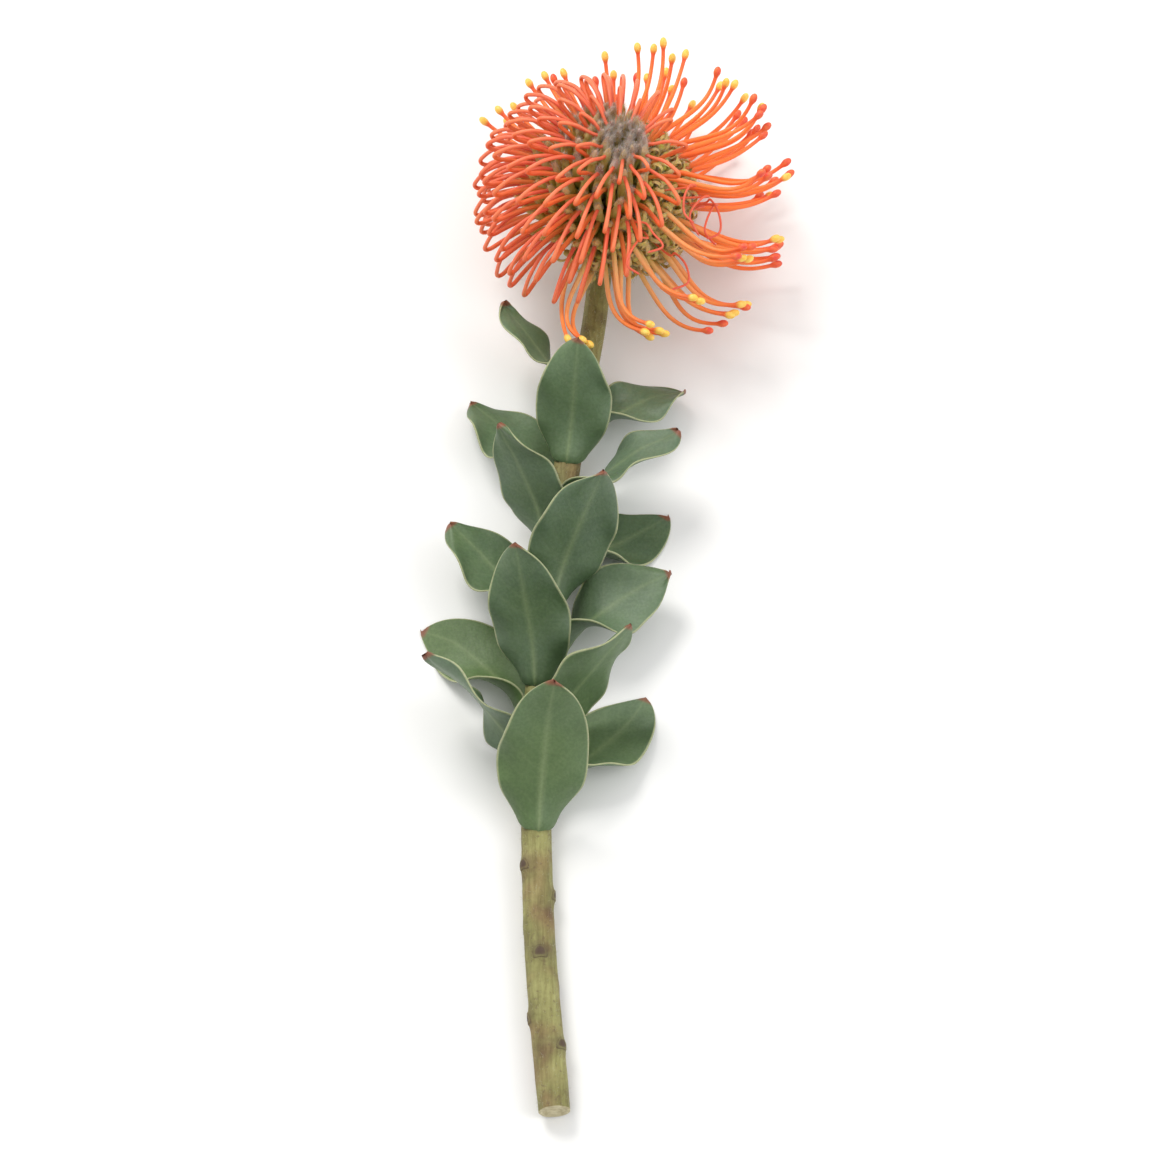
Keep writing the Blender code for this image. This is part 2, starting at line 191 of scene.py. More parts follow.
def lift_off_floor(points, clearance, softness):
    """Bend whatever would sink into the floor smoothly along it."""
    above = (points[..., 2] - clearance) / softness
    lifted = clearance + softness * np.log1p(np.exp(np.minimum(above, 30.0)))
    points[..., 2] = np.where(above < 20.0, lifted, points[..., 2])
    return points


# ---------------------------------------------------------------- mesh building


class Surface:
    """Collects grids of points into one mesh, with a chart of its own on the UV map for each."""

    def __init__(self):
        self.points = []
        self.faces = []
        self.face_charts = []
        self.corner_uvs = []
        self.mark = []
        self.kind = []
        self.tint = []
        self.shade = []
        self.count = 0
        self.charts = 0

    def grid(self, points, mark, kind, tint, shade=0.0, wrap=False):
        """Add a rows x columns grid; wrap joins its last column to its first."""
        self.grids(points[None], mark, kind, tint, shade, wrap)

    def grids(self, points, mark, kind, tint, shade=0.0, wrap=False):
        """Add grids of one size that share a chart on the UV map."""
        copies, rows, columns = points.shape[:3]
        self.points.append(points.reshape(-1, 3))
        for store, value in ((self.mark, mark), (self.kind, kind), (self.tint, tint), (self.shade, shade)):
            value = np.asarray(value, dtype=float)
            if value.ndim == 1:
                value = value[:, None]
            store.append(np.broadcast_to(value, (copies, rows, columns)).reshape(-1))
        spans = columns if wrap else columns - 1
        row, column = (part.reshape(-1) for part in np.meshgrid(np.arange(rows - 1), np.arange(spans), indexing="ij"))
        after = (column + 1) % columns
        near, far = row * columns, (row + 1) * columns
        quads = np.stack((near + column, near + after, far + after, far + column), axis=1)
        starts = self.count + rows * columns * np.arange(copies)
        self.faces.append((starts[:, None, None] + quads[None]).reshape(-1, 4))
        corners = ((row, column), (row, column + 1), (row + 1, column + 1), (row + 1, column))
        uvs = np.stack([np.stack((down / (rows - 1), across / spans), axis=1) for down, across in corners], axis=1)
        self.corner_uvs.append(np.tile(uvs, (copies, 1, 1)))
        self.face_charts.append(np.full(len(quads) * copies, self.charts))
        self.charts += 1
        self.count += copies * rows * columns

    def tube(self, path, radii, sides, mark, kind, tint, shade=0.0):
        """Add a round tube along a path; its ends close to a point where the radius is small."""
        path = np.asarray(path, dtype=float)
        tangents = unit(np.gradient(path, axis=0))
        side = np.cross(tangents[0], (0.3, 0.5, 0.8))
        side = side / np.linalg.norm(side)
        rings = []
        turn = 2.0 * np.pi * np.arange(sides) / sides
        for point, tangent, radius in zip(path, tangents, radii):
            side = side - side.dot(tangent) * tangent
            side = side / np.linalg.norm(side)
            over = np.cross(tangent, side)
            rings.append(point + radius * (np.outer(np.cos(turn), side) + np.outer(np.sin(turn), over)))
        self.grid(np.array(rings), mark, kind, tint, shade, wrap=True)

    def make(self, name, material, matrix):
        """Build the object, with charts laid out side by side on its UV map."""
        points = np.concatenate(self.points)
        points = points @ np.array(matrix.to_3x3()).T + np.array(matrix.translation)
        points = lift_off_floor(points, FLOOR_GAP, FLOOR_EASE)
        faces = np.concatenate(self.faces)
        mesh = bpy.data.meshes.new(name)
        mesh.from_pydata(points.tolist(), [], faces.tolist())
        for label, values in (("mark", self.mark), ("kind", self.kind), ("tint", self.tint), ("shade", self.shade)):
            layer = mesh.attributes.new(label, "FLOAT", "POINT")
            layer.data.foreach_set("value", np.concatenate(values).astype(np.float32))
        across = math.ceil(math.sqrt(self.charts))
        chart = np.concatenate(self.face_charts)
        corner = np.stack((chart % across, chart // across), axis=1)[:, None, :]
        uvs = (corner + 0.06 + 0.88 * np.concatenate(self.corner_uvs)) / across
        layer = mesh.uv_layers.new(name="OFBake")
        layer.data.foreach_set("uv", uvs.reshape(-1).astype(np.float32))
        mesh.shade_smooth()
        mesh.validate()
        mesh.materials.append(material)
        piece = bpy.data.objects.new(name, mesh)
        bpy.context.scene.collection.objects.link(piece)
        return piece


def curve_through(points, steps):
    """Catmull-Rom curve through points, with a number of steps between each two."""
    points = np.asarray(points, dtype=float)
    padded = np.concatenate((2.0 * points[:1] - points[1:2], points, 2.0 * points[-1:] - points[-2:-1]))
    made = []
    for span in range(len(points) - 1):
        before, start, end, after = padded[span:span + 4]
        for step in range(steps):
            t = step / steps
            made.append(
                0.5
                * (
                    2.0 * start
                    + (end - before) * t
                    + (2.0 * before - 5.0 * start + 4.0 * end - after) * t ** 2
                    + (3.0 * start - before - 3.0 * end + after) * t ** 3
                )
            )
    made.append(points[-1])
    return np.array(made)


# ---------------------------------------------------------------- materials


def node_material(name, roughness):
    material = bpy.data.materials.new(name)
    material.use_nodes = True
    tree = material.node_tree
    shader = tree.nodes["Principled BSDF"]
    shader.inputs["Roughness"].default_value = roughness
    return material, tree, shader


def add_node(tree, kind, inputs=None, **settings):
    node = tree.nodes.new(kind)
    for key, value in settings.items():
        setattr(node, key, value)
    for key, value in (inputs or {}).items():
        if isinstance(value, bpy.types.NodeSocket):
            tree.links.new(value, node.inputs[key])
        else:
            node.inputs[key].default_value = value
    return node


def attribute(tree, name):
    return add_node(tree, "ShaderNodeAttribute", attribute_name=name).outputs["Fac"]


def ramp(tree, value, stops):
    """Colour ramp with (position, colour) stops."""
    node = add_node(tree, "ShaderNodeValToRGB", {"Fac": value})
    band = node.color_ramp
    while len(band.elements) < len(stops):
        band.elements.new(0.5)
    for element, (position, colour) in zip(band.elements, stops):
        element.position = position
        element.color = (*colour, 1.0)
    return node.outputs["Color"]


def noise(tree, scale, detail=4.0, roughness=0.55, stretch=1.0):
    """Noise on the object's own coordinates, drawn out along Y by the stretch."""
    coordinates = add_node(tree, "ShaderNodeTexCoord").outputs["Object"]
    if stretch != 1.0:
        shrink = {0: coordinates, 1: (1.0, 1.0 / stretch, 1.0)}
        coordinates = add_node(tree, "ShaderNodeVectorMath", shrink, operation="MULTIPLY").outputs[0]
    settings = {"Vector": coordinates, "Scale": scale, "Detail": detail, "Roughness": roughness}
    return add_node(tree, "ShaderNodeTexNoise", settings).outputs["Fac"]


def blend_colour(tree, factor, first, second, mode="MIX"):
    node = add_node(tree, "ShaderNodeMix", data_type="RGBA", blend_type=mode)
    for socket, value in (("Factor", factor), ("A", first), ("B", second)):
        wanted = [item for item in node.inputs if item.name == socket and item.enabled]
        target = wanted[0]
        if isinstance(value, bpy.types.NodeSocket):
            tree.links.new(value, target)
        elif socket == "Factor":
            target.default_value = value
        else:
            target.default_value = (*value, 1.0)
    return next(item for item in node.outputs if item.enabled)


def maths(tree, operation, first, second=0.0):
    node = add_node(tree, "ShaderNodeMath", operation=operation)
    for slot, value in enumerate((first, second)):
        if isinstance(value, bpy.types.NodeSocket):
            tree.links.new(value, node.inputs[slot])
        else:
            node.inputs[slot].default_value = value
    return node.outputs[0]


def add_bump(tree, shader, height, strength, distance):
    bump = add_node(tree, "ShaderNodeBump", {"Height": height, "Strength": strength, "Distance": distance})
    tree.links.new(bump.outputs["Normal"], shader.inputs["Normal"])


def floret_material():
    """Styles, perianths and wool, told apart by the kind attribute."""
    material, tree, shader = node_material("floret", 0.42)
    kind = attribute(tree, "kind")
    is_looped = maths(tree, "GREATER_THAN", kind, 0.5)
    is_perianth = maths(tree, "GREATER_THAN", kind, 1.5)
    is_wool = maths(tree, "GREATER_THAN", kind, 2.5)
    colour = blend_colour(tree, is_looped, free_style_colour(tree), looped_style_colour(tree))
    colour = blend_colour(tree, is_perianth, colour, perianth_colour(tree))
    wool = ramp(tree, attribute(tree, "mark"), (
        (0.0, (0.62, 0.55, 0.30)),
        (0.5, (0.60, 0.52, 0.40)),
        (1.0, (0.56, 0.46, 0.41)),
    ))
    colour = blend_colour(tree, is_wool, colour, wool)
    tree.links.new(colour, shader.inputs["Base Color"])
    tree.links.new(maths(tree, "ADD", 0.42, maths(tree, "MULTIPLY", is_perianth, 0.42)), shader.inputs["Roughness"])
    shader.inputs["Subsurface Weight"].default_value = 0.20
    shader.inputs["Subsurface Radius"].default_value = (0.0025, 0.0008, 0.0003)
    shader.inputs["Subsurface Scale"].default_value = 1.0
    shader.inputs["Specular IOR Level"].default_value = 0.40
    add_bump(tree, shader, noise(tree, 900.0), 0.35, 0.0003)
    return material


def free_style_colour(tree):
    """Free styles: crimson or olive at the foot, bright orange above, with a yellow or coral presenter."""
    mark = attribute(tree, "mark")
    tint = attribute(tree, "tint")
    bright = ramp(tree, mark, (
        (0.00, (0.20, 0.050, 0.015)),
        (0.22, (0.42, 0.050, 0.015)),
        (0.36, (0.86, 0.130, 0.014)),
        (0.55, (0.96, 0.185, 0.018)),
        (0.84, (0.95, 0.180, 0.030)),
        (0.92, (0.84, 0.110, 0.035)),
    ))
    pale = ramp(tree, mark, (
        (0.00, (0.34, 0.40, 0.07)),
        (0.26, (0.62, 0.58, 0.16)),
        (0.42, (0.88, 0.58, 0.24)),
        (0.60, (0.95, 0.40, 0.14)),
        (0.80, (0.94, 0.24, 0.05)),
        (0.93, (0.84, 0.14, 0.04)),
    ))
    colour = blend_colour(tree, attribute(tree, "shade"), bright, pale)
    streaks = maths(tree, "MULTIPLY", noise(tree, 380.0), 0.22)
    colour = blend_colour(tree, streaks, colour, (0.98, 0.36, 0.11))
    yellow = ramp(tree, noise(tree, 700.0), ((0.3, (0.90, 0.50, 0.06)), (0.7, (0.96, 0.66, 0.16))))
    coral = ramp(tree, noise(tree, 500.0), ((0.35, (0.74, 0.075, 0.05)), (0.7, (0.86, 0.20, 0.05))))
    knob = blend_colour(tree, maths(tree, "GREATER_THAN", tint, 0.5), yellow, coral)
    is_knob = ramp(tree, mark, ((0.930, (0.0, 0.0, 0.0)), (0.955, (1.0, 1.0, 1.0))))
    return blend_colour(tree, is_knob, colour, knob)


def looped_style_colour(tree):
    """Looped styles: deep orange lower arm, salmon upper arm made lighter in part as painted highlight, coral where
    the limb holds the tip, with patches of painted highlight.
    """
    mark = attribute(tree, "mark")
    # the salmon stops after the hairpin turn are partly the upper arm's own colour and partly painted highlight
    arm = ramp(tree, mark, (
        (0.00, (0.45, 0.34, 0.06)),
        (0.16, (0.72, 0.30, 0.05)),
        (0.34, (0.70, 0.110, 0.012)),
        (0.54, (0.75, 0.125, 0.020)),
        (0.66, (0.83, 0.215, 0.085)),
        (0.84, (0.79, 0.145, 0.062)),
        (1.00, (0.58, 0.055, 0.038)),
    ))
    tinted = blend_colour(tree, maths(tree, "MULTIPLY", attribute(tree, "tint"), 0.45), arm, (0.80, 0.10, 0.045))
    # painted highlight: noise patches lighten the arm towards a pale pinkish salmon
    return blend_colour(tree, maths(tree, "MULTIPLY", noise(tree, 380.0), 0.20), tinted, (0.96, 0.38, 0.19))


def perianth_colour(tree):
    """Perianths: olive at the foot, yellow-beige above, grey-mauve where the shade attribute says so."""
    outer = ramp(tree, attribute(tree, "mark"), (
        (0.00, (0.210, 0.260, 0.030)),
        (0.30, (0.430, 0.450, 0.070)),
        (0.55, (0.620, 0.560, 0.130)),
        (0.84, (0.780, 0.560, 0.230)),
        (1.00, (0.520, 0.240, 0.130)),
    ))
    mauve = ramp(tree, noise(tree, 300.0), ((0.35, (0.32, 0.16, 0.13)), (0.65, (0.62, 0.51, 0.46))))
    colour = blend_colour(tree, attribute(tree, "shade"), outer, mauve)
    patches = ramp(tree, noise(tree, 200.0), ((0.36, (0.72, 0.66, 0.42)), (0.62, (1.0, 1.0, 1.0))))
    return blend_colour(tree, 1.0, colour, patches, "MULTIPLY")


def leaf_material():
    """Leathery, waxy blade: grey-green bloom, partly real wax and partly painted top light; bright green on some
    blades, partly painted light shining through; pale midrib and margin, reddish callus at the tip.
    """
    material, tree, shader = node_material("leaf", 0.50)
    tint = attribute(tree, "tint")
    vein = attribute(tree, "vein")
    base = ramp(tree, noise(tree, 48.0), (
        (0.30, (0.050, 0.092, 0.038)),
        (0.50, (0.074, 0.125, 0.052)),
        (0.72, (0.108, 0.168, 0.070)),
    ))
    # grey-green bloom in noise patches: partly the wax's own colour and partly painted top light
    bloom_and_top_light = ramp(tree, noise(tree, 20.0, 3.0), ((0.36, (0.0, 0.0, 0.0)), (0.70, (1.0, 1.0, 1.0))))
    base = blend_colour(tree, maths(tree, "MULTIPLY", bloom_and_top_light, 0.55), base, (0.175, 0.245, 0.180))
    # some blades, chosen at random, go bright green: partly their own colour and partly painted light shining through
    # the blade
    base = blend_colour(tree, maths(tree, "MULTIPLY", tint, 0.45), base, (0.120, 0.200, 0.040))
    base = blend_colour(tree, maths(tree, "MULTIPLY", vein, 0.50), base, (0.300, 0.370, 0.180))
    edge = ramp(tree, attribute(tree, "mark"), ((0.945, (0.0, 0.0, 0.0)), (0.985, (1.0, 1.0, 1.0))))
    base = blend_colour(tree, maths(tree, "MULTIPLY", edge, 0.80), base, (0.460, 0.470, 0.270))
    base = blend_colour(tree, attribute(tree, "shade"), base, (0.240, 0.070, 0.035))
    speckle = ramp(tree, noise(tree, 900.0, 2.0), ((0.40, (0.86, 0.88, 0.84)), (0.60, (1.0, 1.0, 1.0))))
    base = blend_colour(tree, 1.0, base, speckle, "MULTIPLY")
    tree.links.new(base, shader.inputs["Base Color"])
    rough = ramp(tree, noise(tree, 35.0), ((0.3, (0.42, 0.42, 0.42)), (0.7, (0.58, 0.58, 0.58))))
    tree.links.new(rough, shader.inputs["Roughness"])
    grain = maths(tree, "ADD", noise(tree, 520.0), maths(tree, "MULTIPLY", vein, 0.8))
    add_bump(tree, shader, grain, 0.30, 0.0004)
    shader.inputs["Subsurface Weight"].default_value = 0.12
    shader.inputs["Subsurface Radius"].default_value = (0.0006, 0.0012, 0.0003)
    shader.inputs["Subsurface Scale"].default_value = 1.0
    return material


def stem_material():
    """Olive bark, flushed red-brown, with brown leaf scars, pale hairs and a pale cut end."""
    material, tree, shader = node_material("stem", 0.62)
    scar = attribute(tree, "mark")
    base = ramp(tree, noise(tree, 75.0, 7.0, 0.62), (
        (0.30, (0.130, 0.100, 0.036)),
        (0.46, (0.235, 0.225, 0.075)),
        (0.70, (0.370, 0.360, 0.140)),
    ))
    flush = ramp(tree, noise(tree, 30.0, 3.0), ((0.50, (0.0, 0.0, 0.0)), (0.66, (1.0, 1.0, 1.0))))
    base = blend_colour(tree, maths(tree, "MULTIPLY", flush, 0.62), base, (0.240, 0.090, 0.052))
    fibres = ramp(tree, noise(tree, 900.0, 5.0, 0.6, 9.0), ((0.36, (0.74, 0.70, 0.58)), (0.62, (1.08, 1.08, 1.04))))
    base = blend_colour(tree, 0.85, base, fibres, "MULTIPLY")
    dots = ramp(tree, noise(tree, 520.0, 2.0), ((0.62, (0.0, 0.0, 0.0)), (0.70, (1.0, 1.0, 1.0))))
    base = blend_colour(tree, maths(tree, "MULTIPLY", dots, 0.5), base, (0.120, 0.070, 0.035))
    base = blend_colour(tree, scar, base, (0.070, 0.038, 0.022))
    pith = ramp(tree, noise(tree, 600.0), ((0.35, (0.42, 0.36, 0.20)), (0.65, (0.62, 0.56, 0.36))))
    base = blend_colour(tree, attribute(tree, "kind"), base, pith)
    base = blend_colour(tree, attribute(tree, "shade"), base, (0.560, 0.540, 0.400))
    tree.links.new(base, shader.inputs["Base Color"])
    bark = maths(tree, "ADD", noise(tree, 380.0, 6.0), noise(tree, 1100.0, 4.0, 0.6, 8.0))
    add_bump(tree, shader, bark, 0.8, 0.0007)
    return material


def bract_material():
    material, tree, shader = node_material("bract", 0.85)
    colour = ramp(tree, attribute(tree, "mark"), (
        (0.0, (0.20, 0.21, 0.09)),
        (0.6, (0.36, 0.31, 0.19)),
        (1.0, (0.30, 0.14, 0.09)),
    ))
    speckle = ramp(tree, noise(tree, 500.0), ((0.35, (0.65, 0.62, 0.52)), (0.65, (1.0, 1.0, 1.0))))
    tree.links.new(blend_colour(tree, 1.0, colour, speckle, "MULTIPLY"), shader.inputs["Base Color"])
    add_bump(tree, shader, noise(tree, 900.0), 0.5, 0.0004)
    return material


# ---------------------------------------------------------------- the head


def head_matrix():
    turn = Euler((math.radians(-HEAD_TILT_FORWARD), math.radians(HEAD_TILT_SIDE), 0.0), "XYZ")
    return Matrix.Translation(HEAD_CENTRE) @ turn.to_matrix().to_4x4()


def head_point(radius, polar, azimuth):
    off_axis = math.radians(polar)
    around = math.radians(azimuth)
    across = math.sin(off_axis)
    return radius * np.array((across * math.cos(around), across * math.sin(around), math.cos(off_axis)))


def floret_polar(index):
    share = (index + 0.5) / FLORET_COUNT
    return math.degrees(math.acos(1.0 - share * (1.0 - math.cos(math.radians(LAST_POLAR)))))


def floret_azimuth(index):
    return (index * GOLDEN_ANGLE) % 360.0


def is_released(index):
    away = 0.5 - 0.5 * math.cos(math.radians(floret_azimuth(index) - OPEN_SIDE))
    return index > mix(OPEN_LIMIT_LEAST, OPEN_LIMIT_MOST, away ** OPEN_LIMIT_POWER)


def add_hairs(surface, roots, leans, lengths, chance, mark, kind, shade=0.0):
    """A batch of fine tapering hairs, slightly bent."""
    reach = lengths[:, None] * leans
    bends = lengths[:, None] * HAIR_BEND * chance.normal(size=roots.shape)
    paths = np.stack((roots, roots + 0.5 * reach + bends, roots + reach + bends), axis=1)
    sides = unit(np.cross(leans, (0.3, 0.5, 0.8)))
    overs = np.cross(leans, sides)
    turn = (2.0 * np.pi * np.arange(3) / 3)[None, :, None]
    ring = np.cos(turn) * sides[:, None, :] + np.sin(turn) * overs[:, None, :]
    points = paths[:, :, None, :] + np.array(HAIR_RADII)[None, :, None, None] * ring[:, None, :, :]
    surface.grids(points, mark, kind, 0.5, shade, wrap=True)


def add_wool(surface, centre, axis, size, hairs, chance, mark, length):
    """Silky wool that stands out of a limb and lies towards its tip."""
    side = unit(np.cross(axis, (0.21, 0.53, 0.82)))
    over = np.cross(axis, side)
    along = chance.uniform(-0.95, 0.95, (hairs, 1))
    turn = chance.uniform(0.0, 2.0 * np.pi, (hairs, 1))
    outward = np.cos(turn) * side + np.sin(turn) * over
    roots = centre + axis * along * size[1] + outward * size[0] * np.sqrt(1.0 - along ** 2) * 0.85
    leans = unit(outward + axis * chance.uniform(0.5, 3.2, (hairs, 1)) + 0.35 * chance.normal(size=(hairs, 3)))
    lengths = length * chance.uniform(0.6, 1.3, hairs)
    shades = np.clip(mark + chance.uniform(-0.25, 0.25, (hairs, 1, 1)), 0.0, 1.0)
    add_hairs(surface, roots, leans, lengths, chance, shades, WOOL)


def add_limb(surface, centre, axis, size, mark, tint, shade):
    """Closed perianth limb of four fused claws, narrower at its tip: size is its radius and half length."""
    reach = np.linspace(-1.0, 1.0, LIMB_RINGS)[:, None, None]
    turn = (2.0 * np.pi * np.arange(LIMB_SIDES) / LIMB_SIDES)[None, :, None]
    side = unit(np.cross(axis, (0.21, 0.53, 0.82)))
    over = np.cross(axis, side)
    radii = size[0] * np.sqrt(1.0 - np.abs(reach) ** 2.4) * (1.0 - 0.34 * reach) * (1.0 + 0.10 * np.cos(4.0 * turn))
    points = centre + reach * size[1] * axis + (radii + 0.00002) * (np.cos(turn) * side + np.sin(turn) * over)
    towards_tip = 0.5 + 0.5 * reach[:, 0, 0]
    greyed = np.clip(1.3 * shade * towards_tip ** mix(2.4, 0.6, shade), 0.0, 1.0)
    surface.grid(points, mix(mark - 0.34, mark, towards_tip), PERIANTH, tint, greyed, wrap=True)


def style_radii(share):
    """Radius along a free style: it tapers, then swells into the pollen presenter."""
    taper = mix(STYLE_RADIUS_FOOT, STYLE_RADIUS_TIP, smoothstep(0.35, 0.95, share))
    along = np.clip((share - 1.0 + KNOB_SHARE) / KNOB_SHARE, 0.0, 1.0)
    swelling = mix(STYLE_RADIUS_TIP, KNOB_RADIUS, smoothstep(0.0, 0.5, along))
    rounding = KNOB_RADIUS * np.sqrt(np.clip(1.0 - (np.maximum(along - 0.55, 0.0) / 0.45) ** 2, 0.0, 1.0))
    return np.where(along > 0.0, np.minimum(swelling, rounding) + 0.00002, taper)


def free_path(index, chance):
    """Centre line of a free style: it spreads, curves in and hooks sideways, most at the lower side."""
    polar = floret_polar(index)
    azimuth = floret_azimuth(index)
    spread = SPREAD_BASE + SPREAD_SHARE * polar + chance.uniform(-5.0, 5.0)
    incurve = INCURVE + chance.uniform(-12.0, 16.0)
    low_side = max(0.0, -math.sin(math.radians(azimuth)))
    hook = mix(HOOK_LEAST, HOOK_MOST, low_side) + chance.uniform(-9.0, 9.0)
    length = STYLE_LENGTH * chance.uniform(0.95, 1.04)
    travelled = np.linspace(0.0, length, STYLE_STEPS + 1)
    bend = mix(polar, spread, smoothstep(0.006, 0.024, travelled))
    bend = np.radians(bend - incurve * smoothstep(0.034, 0.058, travelled))[:, None]
    turn = np.radians(hook * smoothstep(0.028, 0.056, travelled))[:, None]
    outward = head_point(1.0, 90.0, azimuth)
    sideways = head_point(1.0, 90.0, azimuth + 90.0)
    upward = np.array((0.0, 0.0, 1.0))
    moves = np.cos(turn) * (np.sin(bend) * outward + np.cos(bend) * upward) + np.sin(turn) * sideways
    moves[0] = 0.0
    return head_point(FOOT_RADIUS, polar, azimuth) + np.cumsum(moves, axis=0) * length / STYLE_STEPS


def gather_bundles(paths):
    """Draw neighbouring free styles together into loose bundles, least of all at the upper side."""
    bundles = []
    for index in paths:
        heading = unit(paths[index][-1])
        nearest, best = None, math.cos(math.radians(BUNDLE_ANGLE))
        for bundle in bundles:
            closeness = float(unit(np.mean([paths[other][-1] for other in bundle], axis=0)).dot(heading))
            if len(bundle) < BUNDLE_MOST and closeness > best:
                nearest, best = bundle, closeness
        if nearest is None:
            bundles.append([index])
        else:
            nearest.append(index)
    gathered = {}
    for bundle in bundles:
        target = np.mean([paths[index][-1] for index in bundle], axis=0)
        high_side = max(0.0, float(unit(target)[1]))
        pull = mix(BUNDLE_PULL, BUNDLE_PULL_TOP, high_side)
        for index in bundle:
            path = paths[index]
            weight = smoothstep(0.15, 0.85, np.linspace(0.0, 1.0, len(path)))
            gathered[index] = path + np.outer(weight, pull * (target - path[-1]))
    return gathered


def is_curly(index):
    """Whether a released floret on the lower right has a thin, withered style."""
    azimuth = floret_azimuth(index)
    lower_right = 285.0 < azimuth < 355.0
    return lower_right and 32.0 < floret_polar(index) < 84.0 and index % 3 == 0


def add_curly(surface, index, chance):
    """Thin, reddish style that stands out of the head and curls down on itself."""
    polar = floret_polar(index)
    azimuth = floret_azimuth(index)
    stand = chance.uniform(0.034, 0.042)
    bend = chance.uniform(-8.0, 8.0)
    top = head_point(stand, polar + bend, azimuth + bend)
    side = chance.choice((-1.0, 1.0))
    steps = (
        (0.4 * side, -0.5, 0.45),
        (0.6 * side, -1.0, 0.0),
        (0.1 * side, -1.0, -0.35),
        (-0.9 * side, -0.7, -0.2),
    )
    points = [head_point(FOOT_RADIUS, polar, azimuth), head_point(0.6 * stand, polar + 0.3 * bend, azimuth), top]
    for step in steps:
        reach = chance.uniform(0.0045, 0.0070)
        noise_vector = np.array([chance.gauss(0.0, 1.0) for _ in range(3)])
        points.append(points[-1] + reach * (np.array(step) + 0.14 * noise_vector))
    path = curve_through(points, 7)
    radii = np.full(len(path), CURLY_RADIUS)
    radii[-1] = 0.00005
    surface.tube(path, radii, 8, np.linspace(0.80, 1.0, len(path)), LOOPED_STYLE, 0.8)


def add_free_style(surface, path, tint, paleness):
    share = np.linspace(0.0, 1.0, len(path))
    shaft = np.linspace(0.0, 1.0 - KNOB_SHARE, 34, endpoint=False)
    fine = np.concatenate((shaft, 1.0 - KNOB_SHARE * (1.0 - np.sin(np.linspace(0.0, 0.5 * np.pi, 14)))))
    centre_line = np.stack([np.interp(fine, share, path[:, axis]) for axis in range(3)], axis=1)
    surface.tube(centre_line, style_radii(fine), STYLE_SIDES, fine, FREE_STYLE, tint, paleness)


def add_released(surface, index, path, chance):
    """Open floret: its free style, and four woolly perianth lobes curled back at its foot."""
    wool = np.random.default_rng(index)
    if is_curly(index):
        add_curly(surface, index, chance)
    azimuth = math.radians(floret_azimuth(index))
    coral_odds = 0.08 + 0.62 * max(0.0, math.cos(azimuth)) + 0.10 * max(0.0, -math.sin(azimuth))
    tint = 1.0 if chance.random() < coral_odds else 0.0
    paleness = float(smoothstep(0.25, 0.85, -math.sin(azimuth))) * chance.uniform(0.7, 1.0)
    if not is_curly(index):
        add_free_style(surface, path, tint, paleness)

    tube_end = int(STYLE_STEPS * 0.20)
    foot = path[:tube_end + 1]
    radii = mix(0.0009, 0.0015, np.linspace(0.0, 1.0, len(foot)) ** 0.7)
    surface.tube(foot, radii, 9, np.linspace(0.1, 0.6, len(foot)), PERIANTH, tint)
    axis = unit(path[tube_end + 1] - path[tube_end - 1])
    first = unit(np.cross(axis, head_point(1.0, 90.0, math.degrees(azimuth) + 90.0)))
    second = np.cross(axis, first)
    for lobe in range(4):
        turn = 0.5 * math.pi * lobe + chance.uniform(-0.3, 0.3)
        away = math.cos(turn) * first + math.sin(turn) * second
        add_lobe(surface, path[tube_end], axis, away, chance, wool)


def add_lobe(surface, top, axis, away, chance, wool):
    """One perianth lobe, rolled back on itself, with its woolly limb at the end."""
    across = np.cross(axis, away)
    rise = chance.uniform(0.003, 0.0065)
    roll = math.radians(chance.uniform(150.0, 290.0))
    radius = chance.uniform(0.0015, 0.0024)
    run = np.linspace(0.0, rise + roll * radius, LOBE_RINGS)
    angle = 0.14 + np.maximum(run - rise, 0.0) / radius
    moves = np.outer(np.cos(angle), axis) + np.outer(np.sin(angle), away)
    points = top + away * 0.0012 + np.cumsum(moves, axis=0) * run[1]
    reached = np.linspace(0.0, 1.0, LOBE_RINGS)
    points = points + np.outer(reached ** 2 * chance.uniform(-0.0018, 0.0018), across)
    tangents = unit(np.gradient(points, axis=0))
    normals = np.cross(tangents, across)
    half = 0.00105 * (1.0 - 0.35 * reached)[:, None, None]
    turn = (2.0 * np.pi * np.arange(6) / 6)[None, :, None]
    across = across[None, None, :]
    normals = normals[:, None, :]
    rings = points[:, None, :] + half * np.cos(turn) * across
    rings = rings + (0.00022 * np.sin(turn) + 0.35 * half * np.cos(turn) ** 2) * normals
    foot_mark = chance.uniform(0.42, 0.62)
    shade = chance.uniform(0.0, 0.30)
    surface.grid(rings, mix(foot_mark, foot_mark + 0.32, reached), PERIANTH, 0.5, shade, wrap=True)
    limb = (0.0011, 0.0020)
    centre = points[-1] + tangents[-1] * 0.0012
    add_limb(surface, centre, tangents[-1], limb, chance.uniform(0.6, 0.95), 0.5, chance.uniform(0.1, 0.8))
    add_wool(surface, centre, tangents[-1], limb, 46, wool, chance.uniform(0.0, 0.8), 0.0015)
    middle = LOBE_RINGS // 2
    add_wool(surface, points[middle], tangents[middle], (0.0009, 0.0026), 34, wool, 0.3, 0.0012)


